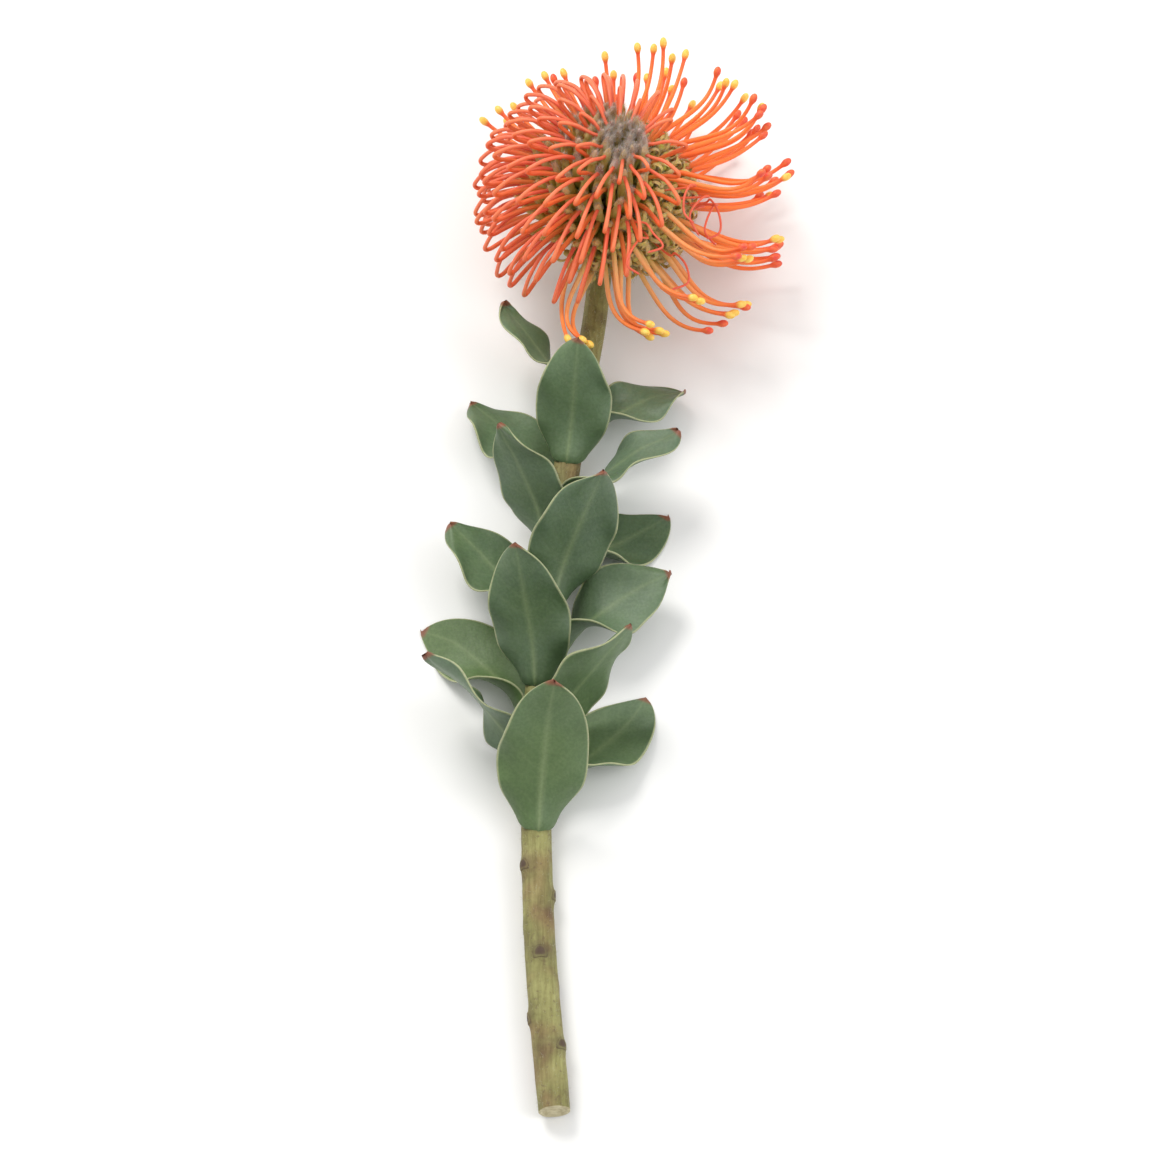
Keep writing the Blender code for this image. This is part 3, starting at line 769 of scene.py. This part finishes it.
def add_unopened(surface, index, chance):
    """Unopened floret: the style bows out in a hairpin, its tip still held by the woolly limb."""
    polar = floret_polar(index)
    azimuth = floret_azimuth(index)
    back = min(LIMB_BACK, LIMB_BACK_SHARE * polar) * chance.uniform(0.92, 1.1)
    grown = float(smoothstep(8.0, 45.0, polar))
    size = mix(0.78, 1.0, grown)
    reach = mix(0.0400, 0.0505, float(smoothstep(10.0, 65.0, polar))) * chance.uniform(0.97, 1.03)
    bow = mix(6.0, 9.5, grown) * chance.uniform(0.85, 1.15)
    lean = chance.uniform(-1.8, 1.8)
    tip_lean = lean + chance.uniform(-2.2, 2.2)

    def at(radius, bend, turn=0.0):
        return head_point(radius, polar + bend, azimuth + turn / max(math.sin(math.radians(polar)), 0.35))

    tube = curve_through((
        at(FOOT_RADIUS, 0.0),
        at(0.0185, 0.5, 0.3 * lean),
        at(0.0250, -0.22 * back, 0.6 * lean),
        at(LIMB_RADIUS - 0.0022, -0.86 * back, tip_lean),
    ), 6)
    share = np.linspace(0.0, 1.0, len(tube))
    belly = mix(0.0009, 0.00175 * size, smoothstep(0.0, 0.5, share)) * mix(1.0, 0.78, smoothstep(0.7, 1.0, share))
    tint = chance.random()
    central = float(1.0 - smoothstep(16.0, 46.0, polar))
    surface.tube(tube, belly, 10, mix(0.10, 0.75, share), PERIANTH, tint, 0.25 * central)

    held = at(LIMB_RADIUS, -back, tip_lean)
    axis = unit(held - tube[-4])
    limb = (0.00142 * size, 0.0038 * size)
    wool = np.random.default_rng(index)
    near_apex = float(1.0 - smoothstep(50.0, 84.0, polar))
    greyness = max(central, near_apex * wool.uniform(0.35, 1.0))
    add_limb(surface, held, axis, limb, 0.84, tint, greyness)
    hairs = int(mix(170, 250, greyness))
    add_wool(surface, held, axis, limb, hairs, wool, mix(0.1, 1.0, greyness), mix(0.0013, 0.0022, central))

    style = curve_through((
        at(0.0165, 0.2, 0.2 * lean),
        at(0.0250, 0.10 * bow, 0.6 * lean),
        at(0.70 * reach, 0.34 * bow, lean),
        at(0.86 * reach, 0.74 * bow, lean),
        at(0.955 * reach, 0.98 * bow, lean),
        at(reach, 0.92 * bow, lean),
        at(0.995 * reach, 0.62 * bow, lean),
        at(0.93 * reach, -0.08 * back, 0.8 * lean + 0.2 * tip_lean),
        at(0.81 * reach, -0.62 * back, 0.3 * lean + 0.7 * tip_lean),
        held,
    ), 6)
    share = np.linspace(0.0, 1.0, len(style))
    radii = mix(LOOP_RADIUS_FOOT, LOOP_RADIUS_TIP, smoothstep(0.3, 0.9, share)) * mix(0.85, 1.0, grown)
    surface.tube(style, radii, STYLE_SIDES, share, LOOPED_STYLE, tint)


def add_bud(surface, index, chance):
    """One of the smallest buds, still closed, at the apex."""
    polar = floret_polar(index)
    azimuth = floret_azimuth(index)
    lean = chance.uniform(-5.0, 5.0)
    path = curve_through((
        head_point(FOOT_RADIUS, polar, azimuth),
        head_point(0.0200, 0.95 * polar, azimuth),
        head_point(0.0285, 0.80 * polar, azimuth + lean),
    ), 5)
    surface.tube(path, np.linspace(0.0009, 0.0013, len(path)), 8, np.linspace(0.1, 0.5, len(path)), PERIANTH, 0.5)
    held = head_point(0.0315, 0.72 * polar, azimuth + lean)
    axis = unit(held - path[-1])
    limb = (0.00125, 0.0034)
    add_limb(surface, held, axis, limb, 0.85, 0.5, chance.uniform(0.85, 1.0))
    add_wool(surface, held, axis, limb, 280, np.random.default_rng(index), chance.uniform(0.8, 1.0), 0.0023)


def row_indices(row):
    return [CENTRE_FLORETS + row + step * ROW_COUNT for step in range(ROW_FLORETS)]


def dress_head(material, place):
    chances = {index: random.Random(1000 + index) for index in range(FLORET_COUNT)}
    free = [index for index in range(CENTRE_FLORETS, FLORET_COUNT) if is_released(index)]
    paths = gather_bundles({index: free_path(index, chances[index]) for index in free})
    for row in range(ROW_COUNT):
        surface = Surface()
        for index in row_indices(row):
            if index in paths:
                add_released(surface, index, paths[index], chances[index])
            else:
                add_unopened(surface, index, chances[index])
        piece = surface.make(f"florets_{row + 1:02d}", material, place)
        settle(piece, "floret", f"floret_row_{row + 1:02d}")
    surface = Surface()
    for index in range(CENTRE_FLORETS):
        add_bud(surface, index, chances[index])
    settle(surface.make("apex_buds", material, place), "bud", "centre_buds")


def settle(piece, slot, *nodes):
    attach(piece, "root")
    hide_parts(*nodes)


# ---------------------------------------------------------------- stem


def stem_line(span_rings, neck_rings):
    """Centre line from the cut end to the foot of the receptacle."""
    points = np.array(STEM_POINTS)
    padded = np.concatenate((points[:1], points, points[-1:]))
    line = []
    for step in range((len(points) - 1) * span_rings):
        span, share = divmod(step, span_rings)
        share = share / span_rings
        before, start, end, after = padded[span:span + 4]
        line.append(0.5 * (
            2.0 * start
            + (end - before) * share
            + (2.0 * before - 5.0 * start + 4.0 * end - after) * share ** 2
            + (3.0 * start - before - 3.0 * end + after) * share ** 3
        ))
    start = points[-1]
    depth = RECEPTACLE_RADIUS * math.cos(math.radians(NECK_POLAR))
    end = np.array(head_matrix() @ Vector((0.0, 0.0, depth)))
    axis = unit(np.array(HEAD_CENTRE) - end)
    pull_start = start + NECK_START_PULL * unit(start - line[-1])
    pull_end = end - NECK_END_PULL * axis
    for share in np.linspace(0.0, 1.0, neck_rings):
        rest = 1.0 - share
        line.append(
            rest ** 3 * start + 3.0 * rest ** 2 * share * pull_start + 3.0 * rest * share ** 2 * pull_end
            + share ** 3 * end
        )
    return np.array(line)


def stem_radius(share):
    return mix(STEM_RADIUS_CUT, STEM_RADIUS_TOP, share)


def ring_frames(line):
    """Tangent and two cross directions at each point of a line."""
    tangents = np.empty_like(line)
    tangents[1:-1] = line[2:] - line[:-2]
    tangents[0] = line[1] - line[0]
    tangents[-1] = line[-1] - line[-2]
    tangents = unit(tangents)
    side = np.array((1.0, 0.0, 0.0))
    sides = []
    for tangent in tangents:
        side = unit(side - side.dot(tangent) * tangent)
        sides.append(side)
    sides = np.array(sides)
    return tangents, sides, np.cross(sides, tangents)


def cad_offset():
    """Shift from the flower's own coordinates to the frame, read from the stem's box."""
    line = stem_line(CAD_SPAN_RINGS, CAD_NECK_RINGS)
    tangents, sides, overs = ring_frames(line)
    turns = 2.0 * np.pi * np.arange(12) / 12
    lows = []
    for point, side, over, share in zip(line, sides, overs, np.arange(len(line)) / (len(line) - 1)):
        ring = point + stem_radius(share) * (np.outer(np.cos(turns), side) + np.outer(np.sin(turns), over))
        lows.append(ring.min(axis=0))
    low = Vector(np.array(lows).min(axis=0))
    return Matrix.Translation(Vector(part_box("stem")[0]) - low)


def leaf_stations():
    """Place and raw angle of every leaf on the stem."""
    found = []
    for number in range(LEAF_COUNT):
        share = number / (LEAF_COUNT - 1)
        raw = (LEAF_FIRST_ANGLE + number * GOLDEN_ANGLE + 180.0) % 360.0 - 180.0
        found.append((mix(LEAF_FIRST_Y, LEAF_LAST_Y, share), LEAF_ANGLE_SHARE * raw))
    return found


def scar_stations():
    """Scars of the leaves that were stripped off the lower stem."""
    found = []
    for number in range(1, 9):
        raw = (LEAF_FIRST_ANGLE - number * GOLDEN_ANGLE + 180.0) % 360.0 - 180.0
        found.append((LEAF_FIRST_Y - 0.0112 * number, raw))
    return found


def add_stem_hairs(surface, line, tangents, sides, overs, radius):
    """Short pale hairs all along the bark."""
    chance = np.random.default_rng(STEM_HAIR_SEED)
    ring = chance.integers(2, len(line) - 2, STEM_HAIRS)
    turn = chance.uniform(0.0, 2.0 * np.pi, (STEM_HAIRS, 1))
    outward = np.cos(turn) * sides[ring] + np.sin(turn) * overs[ring]
    roots = line[ring] + outward * (radius[ring].mean(axis=1, keepdims=True) - 0.00015)
    along = chance.uniform(-0.2, 1.0, (STEM_HAIRS, 1)) * tangents[ring]
    leans = unit(outward + along + 0.4 * chance.normal(size=outward.shape))
    lengths = STEM_HAIR_LENGTH * chance.uniform(0.5, 1.2, STEM_HAIRS)
    add_hairs(surface, roots, leans, lengths, chance, 0.0, 0.0, 1.0)


def add_scar(surface, y, turn, line, frames, radius):
    """Crescent scar of a stripped leaf: a corky rim with a dark edge round a sunken middle."""
    rings, columns = radius.shape
    ring = np.interp(y, line[:, 1], np.arange(rings))
    spacing = np.linalg.norm(line[1] - line[0])
    reach = np.array(SCAR_REACH)[:, None]
    round_it = (2.0 * np.pi * np.arange(SCAR_SIDES) / SCAR_SIDES)[None, :]
    around = reach * np.sin(round_it)
    along = reach * np.cos(round_it) - SCAR_CURVE * around ** 2
    rows = ring + along * SCAR_HALF_HEIGHT / spacing
    turns = np.radians(turn - 90.0) + SCAR_HALF_TURN * around
    heights = np.array(SCAR_HEIGHTS)[:, None]
    row = np.floor(rows).astype(int)
    row_share = (rows - row)[..., None]
    middle, side, over = (
        values[row] * (1.0 - row_share) + values[row + 1] * row_share for values in (line, frames[1], frames[2])
    )
    column = turns % (2.0 * np.pi) / (2.0 * np.pi) * columns
    first = np.floor(column).astype(int)
    column_share = column - first
    low = radius[row, first % columns] * (1.0 - column_share) + radius[row, (first + 1) % columns] * column_share
    high = radius[row + 1, first % columns] * (1.0 - column_share)
    high = high + radius[row + 1, (first + 1) % columns] * column_share
    out = (mix(low, high, row_share[..., 0]) + heights)[..., None]
    turns = turns[..., None]
    points = middle + out * (np.cos(turns) * side + np.sin(turns) * over)
    surface.grid(points, SCAR_MARKS, 0.0, 0.0, wrap=True)


def dress_stem(material, offset):
    line = stem_line(90, 90)
    tangents, sides, overs = ring_frames(line)
    columns = 48
    turns = 2.0 * np.pi * np.arange(columns) / columns
    share = np.arange(len(line)) / (len(line) - 1)
    radius = stem_radius(share)[:, None] * np.ones(columns)
    mark = np.zeros_like(radius)
    angle = np.degrees(np.arctan2(np.cos(turns), -np.sin(turns)))
    stations = [(y, turn, 0.25) for y, turn in leaf_stations()] + [(y, turn, 1.0) for y, turn in scar_stations()]
    for y, turn, darkness in stations:
        off_turn = (angle - turn + 180.0) % 360.0 - 180.0
        along = (line[:, 1] - y)[:, None] / 0.0034
        around = off_turn[None, :] / 44.0
        bump = np.exp(-(along ** 2 + around ** 2) * 1.4)
        radius = radius + 0.00085 * bump
        mark = np.maximum(mark, 0.55 * darkness * bump)
        swell = np.exp(-((line[:, 1] - y) / 0.006) ** 2)
        radius = radius + 0.00022 * swell[:, None]
    ripple = np.sin(7.0 * turns[None, :] + 40.0 * line[:, 1:2]) * 0.00007
    radius = radius + ripple + 0.00010 * np.sin(90.0 * line[:, 1:2]) * np.cos(turns + 1.0)[None, :]
    points = line[:, None, :] + radius[:, :, None] * (
        np.cos(turns)[None, :, None] * sides[:, None, :] + np.sin(turns)[None, :, None] * overs[:, None, :]
    )
    surface = Surface()
    surface.grid(points, mark, 0.0, 0.0, wrap=True)
    inward = np.array((1.0, 0.97, 0.72, 0.70, 0.30, 0.001))
    depth = np.array((0.0, -0.0002, -0.0002, 0.0001, 0.0003, 0.0004))
    start = points[0] - line[0]
    cap = line[0] + inward[:, None, None] * start[None] + depth[:, None, None] * tangents[0]
    surface.grid(cap[::-1], np.zeros(6), 1.0, 0.0, wrap=True)
    top = np.radians(np.linspace(NECK_POLAR, 0.5, 26))
    axis = tangents[-1]
    dome = np.array(HEAD_CENTRE) + RECEPTACLE_RADIUS * (
        np.cos(top)[:, None, None] * axis
        + np.sin(top)[:, None, None] * (
            np.cos(turns)[None, :, None] * sides[-1] + np.sin(turns)[None, :, None] * overs[-1]
        )
    )
    surface.grid(dome, np.zeros(26), 0.0, 0.0, wrap=True)
    add_stem_hairs(surface, line, tangents, sides, overs, radius)
    for y, turn in scar_stations():
        add_scar(surface, y, turn, line, (tangents, sides, overs), radius)
    settle(surface.make("flower_stem", material, offset), "stem", "stem")


# ---------------------------------------------------------------- leaves




def leaf_outline(share):
    widen = 0.42 + 0.58 * np.sin(0.5 * np.pi * np.minimum(share / 0.42, 1.0)) ** 0.8
    taper = np.maximum(1.0 - np.maximum(share - 0.42, 0.0) ** 2.2 / 0.58 ** 2.2, 0.0)
    return np.maximum(widen * taper ** 0.75, 0.004)


def leaf_sheet(number, cad_line, rows, columns):
    """Middle surface of one leaf as a grid, with the side it turns away from the stem."""
    chance = random.Random(LEAF_SEED + number)
    share = number / (LEAF_COUNT - 1)
    target = mix(LEAF_FIRST_Y, LEAF_LAST_Y, share)
    place = next(step for step, point in enumerate(cad_line) if point[1] > target)
    along = unit(cad_line[place] - cad_line[place - 1])
    between = (target - cad_line[place - 1][1]) / (cad_line[place][1] - cad_line[place - 1][1])
    centre = mix(cad_line[place - 1], cad_line[place], between)
    up = unit(np.array((0.0, 0.0, 1.0)) - along[2] * along)
    right = np.cross(along, up)
    raw = (LEAF_FIRST_ANGLE + number * GOLDEN_ANGLE + 180.0) % 360.0 - 180.0
    turn = math.radians(LEAF_ANGLE_SHARE * raw)
    away = math.cos(turn) * up + math.sin(turn) * right

    length = mix(LEAF_LENGTH_LOW, LEAF_LENGTH_TOP, share) * chance.uniform(0.92, 1.06)
    widest = length * LEAF_HALF_WIDTH_SHARE * chance.uniform(0.92, 1.08)
    open_start = chance.uniform(14.0, 22.0)
    open_middle = chance.uniform(46.0, 60.0)
    open_tip = open_middle + chance.uniform(-22.0, 26.0)
    wave = chance.uniform(0.0, 2.0 * math.pi)
    roll = LEAF_ROLL * float(smoothstep(LEAF_ROLL_FROM, LEAF_ROLL_BY, abs(LEAF_ANGLE_SHARE * raw)))

    clasp = stem_radius(place / (len(cad_line) - 1)) + LEAF_GAP + 0.5 * LEAF_THICKNESS
    reached = np.linspace(0.0, 1.0, rows + 1) ** 1.15
    opening = mix(open_start, open_middle, smoothstep(0.0, 0.5, reached))
    opening = np.radians(mix(opening, open_tip, smoothstep(0.55, 1.0, reached)))
    forward = np.cos(opening)[:, None] * along + np.sin(opening)[:, None] * away
    steps = forward * (length * np.diff(reached, prepend=0.0))[:, None]
    spine = centre + clasp * away + np.cumsum(steps, axis=0)
    outward = np.cos(opening)[:, None] * away - np.sin(opening)[:, None] * along
    down = np.array((0.0, 0.0, -1.0)) - forward * -forward[:, 2:3]
    down = unit(down)
    weight = (roll * smoothstep(0.05, 0.6, reached))[:, None]
    facing = unit(mix(outward, down, weight))
    across = np.cross(forward, facing)
    base = np.clip(reached / LEAF_BASE_SHARE, 0.0, 1.0)
    half = widest * leaf_outline(reached) * mix(0.30, 1.0, np.sqrt(1.0 - (1.0 - base) ** 2))
    curl = mix(1.0 / clasp, LEAF_CUPPING, smoothstep(0.0, 0.3, reached))
    sideways = np.linspace(-1.0, 1.0, columns + 1)
    arc = sideways[None, :] * (half * curl)[:, None]
    offset = ((np.cos(arc) - 1.0) / curl[:, None])[:, :, None] * facing[:, None, :]
    offset = offset + (np.sin(arc) / curl[:, None])[:, :, None] * across[:, None, :]
    ripple = LEAF_RIPPLE * sideways[None, :] ** 2 * smoothstep(0.15, 0.4, reached)[:, None]
    ripple = ripple * np.sin(wave + LEAF_RIPPLE_TURNS * reached[:, None] + 2.0 * sideways[None, :])
    margin = np.abs(sideways)[None, :] ** 3 * smoothstep(0.2, 0.5, reached)[:, None]
    flutter = LEAF_FLUTTER * margin * np.sin(chance.uniform(0.0, 6.3) + 15.0 * reached[:, None] + 3.0 * sideways)
    twist = math.radians(chance.uniform(-LEAF_TWIST, LEAF_TWIST)) * smoothstep(0.35, 1.0, reached)
    twisting = sideways[None, :] * (half * np.sin(twist))[:, None]
    recurve = (chance.uniform(-0.0005, LEAF_RECURVE) * smoothstep(0.62, 1.0, reached) ** 1.5)[:, None]
    drawn_in = (-LEAF_DRAWN_IN * (1.0 - base) ** 2)[:, None]
    lift = ripple + flutter + twisting + recurve + drawn_in
    sheet = spine[:, None, :] + offset + lift[:, :, None] * facing[:, None, :]
    sheet = lift_off_floor(sheet, FLOOR_CLEARANCE, FLOOR_SOFTNESS)
    return sheet, facing, reached, sideways, chance


def dress_leaf(number, cad_line, material, offset):
    rows, columns = 56, 28
    sheet, facing, reached, sideways, chance = leaf_sheet(number, cad_line, rows, columns)
    normal = np.cross(np.gradient(sheet, axis=0), np.gradient(sheet, axis=1))
    normal = unit(normal)
    flip = np.sign((normal * facing[:, None, :]).sum(axis=2, keepdims=True))
    normal = normal * np.where(flip == 0.0, 1.0, flip)
    away = np.abs(sideways)[None, :]
    rib = np.exp(-(away / 0.075) ** 2) * (1.0 - 0.7 * reached[:, None])
    slant = reached[:, None] * 8.5 - away * 1.9
    veins = np.exp(-((slant - np.round(slant)) / 0.085) ** 2) * smoothstep(0.04, 0.2, away) * (1.0 - away ** 4)
    vein = np.clip(rib + 0.14 * veins, 0.0, 1.0)
    edge = smoothstep(0.90, 1.0, away) * np.ones((rows + 1, 1))
    thickness = LEAF_THICKNESS * (0.5 - 0.22 * edge)
    quilt = 0.00022 * (1.0 - vein) * (1.0 - edge)
    upper = sheet - normal * (thickness - quilt * 0.5)[:, :, None]
    lower = sheet + normal * (thickness + 0.00055 * rib * (1.0 - reached[:, None]))[:, :, None]
    around = np.concatenate((upper, lower[:, ::-1]), axis=1)
    edge_mark = np.broadcast_to(away, (rows + 1, columns + 1))
    marks = np.concatenate((edge_mark, edge_mark[:, ::-1]), axis=1)
    surface = Surface()
    callus = smoothstep(0.962, 0.985, reached)
    surface.grid(around, marks, 0.0, chance.random() ** 1.6, callus, wrap=True)
    piece = surface.make(f"blade_{number + 1:02d}", material, offset)
    layer = piece.data.attributes.new("vein", "FLOAT", "POINT")
    vein_marks = np.concatenate((vein, vein[:, ::-1]), axis=1)
    layer.data.foreach_set("value", vein_marks.reshape(-1).astype(np.float32))
    settle(piece, "leaf", f"leaf_{number + 1:02d}")


# ---------------------------------------------------------------- bracts


def dress_bract(number, material, place):
    azimuth = 360.0 * number / BRACT_COUNT
    side = head_point(1.0, 90.0, azimuth + 90.0)
    rows, columns = 14, 10
    surface = Surface()
    reached = np.linspace(0.0, 1.0, rows)
    width = 0.0022 * np.clip(1.0 - reached ** 2.2, 0.02, 1.0) ** 0.6
    turn = 2.0 * np.pi * np.arange(columns) / columns
    rings = []
    for share, half in zip(reached, width):
        middle = head_point(BRACT_FOOT + 0.0095 * share, BRACT_POLAR - 4.0 * share, azimuth)
        over = unit(np.cross(head_point(1.0, BRACT_POLAR, azimuth), side))
        keel = 0.0005 * (1.0 - 0.5 * share)
        lift = -0.0006 * np.cos(turn) ** 2
        ring = middle + half * np.outer(np.cos(turn), side) + np.outer(keel * np.sin(turn) + lift, over)
        rings.append(ring)
    surface.grid(np.array(rings), reached, 0.0, 0.0, wrap=True)
    piece = surface.make(f"scale_{number + 1:02d}", material, place)
    settle(piece, "bract", f"bract_{number + 1:02d}")


# ---------------------------------------------------------------- stage


def make_floor():
    material, tree, shader = node_material("floor", 0.75)
    colour = ramp(tree, noise(tree, 3.0), ((0.3, (0.86, 0.86, 0.85)), (0.7, (0.90, 0.90, 0.89))))
    tree.links.new(colour, shader.inputs["Base Color"])
    mesh = bpy.data.meshes.new("floor")
    reach = 6.0
    mesh.from_pydata([(-reach, -reach, 0), (reach, -reach, 0), (reach, reach, 0), (-reach, reach, 0)], [], [(0, 1, 2, 3)])
    mesh.materials.append(material)
    floor = bpy.data.objects.new("floor", mesh)
    floor.location.z = cad_box[0][2] - 0.0002
    bpy.context.scene.collection.objects.link(floor)


def add_light(name, location, target, size, power, colour):
    data = bpy.data.lights.new(name, "AREA")
    data.shape = "DISK"
    data.size = size
    data.energy = power
    data.color = colour
    light = bpy.data.objects.new(name, data)
    light.location = location
    light.rotation_euler = (Vector(target) - Vector(location)).to_track_quat("-Z", "Y").to_euler()
    bpy.context.scene.collection.objects.link(light)


def make_studio():
    world = bpy.data.worlds.new("studio")
    world.use_nodes = True
    world.node_tree.nodes["Background"].inputs["Color"].default_value = (1.0, 1.0, 1.0, 1.0)
    world.node_tree.nodes["Background"].inputs["Strength"].default_value = 0.80
    bpy.context.scene.world = world
    middle = (0.0, 0.02, 0.02)
    add_light("key", (-0.55, 0.75, 1.15), middle, 0.7, 12.5, (1.0, 0.98, 0.95))
    add_light("fill", (0.95, -0.30, 0.95), middle, 0.9, 5.0, (0.97, 0.98, 1.0))
    bpy.context.scene.view_settings.view_transform = "Standard"


def make_camera(place):
    """Look down on the flower, so that it fills the frame from the cut end to the far styles."""
    elevation = math.radians(CAMERA_ELEVATION)
    towards = Vector((0.0, -math.cos(elevation), math.sin(elevation)))
    upward = Vector((0.0, math.sin(elevation), math.cos(elevation)))
    head = place @ HEAD_CENTRE
    cut = place @ Vector(STEM_POINTS[0])
    far_end = head + HEAD_REACH * upward
    near_end = cut - STEM_RADIUS_CUT * upward
    aim = 0.5 * (head + cut)
    for _ in range(CAMERA_AIM_STEPS):
        position = aim + towards * CAMERA_DISTANCE
        top, bottom = ((end - position).dot(upward) / (position - end).dot(towards) for end in (far_end, near_end))
        aim = aim + 0.5 * (top + bottom) * CAMERA_DISTANCE * upward
    data = bpy.data.cameras.new("camera")
    data.sensor_width = 36.0
    data.lens = data.sensor_width * CAMERA_FILL / (top - bottom)
    camera = bpy.data.objects.new("camera", data)
    camera.location = aim + towards * CAMERA_DISTANCE
    camera.rotation_euler = (-towards).to_track_quat("-Z", "Y").to_euler()
    bpy.context.scene.collection.objects.link(camera)
    bpy.context.scene.camera = camera


flower_offset = cad_offset()
make_camera(flower_offset)
make_studio()
make_floor()
head_place = flower_offset @ head_matrix()
dress_head(floret_material(), head_place)
dress_stem(stem_material(), flower_offset)
leaf_finish = leaf_material()
cad_stem_line = stem_line(CAD_SPAN_RINGS, CAD_NECK_RINGS)
for leaf_number in range(LEAF_COUNT):
    dress_leaf(leaf_number, cad_stem_line, leaf_finish, flower_offset)
bract_finish = bract_material()
for bract_number in range(BRACT_COUNT):
    dress_bract(bract_number, bract_finish, head_place)
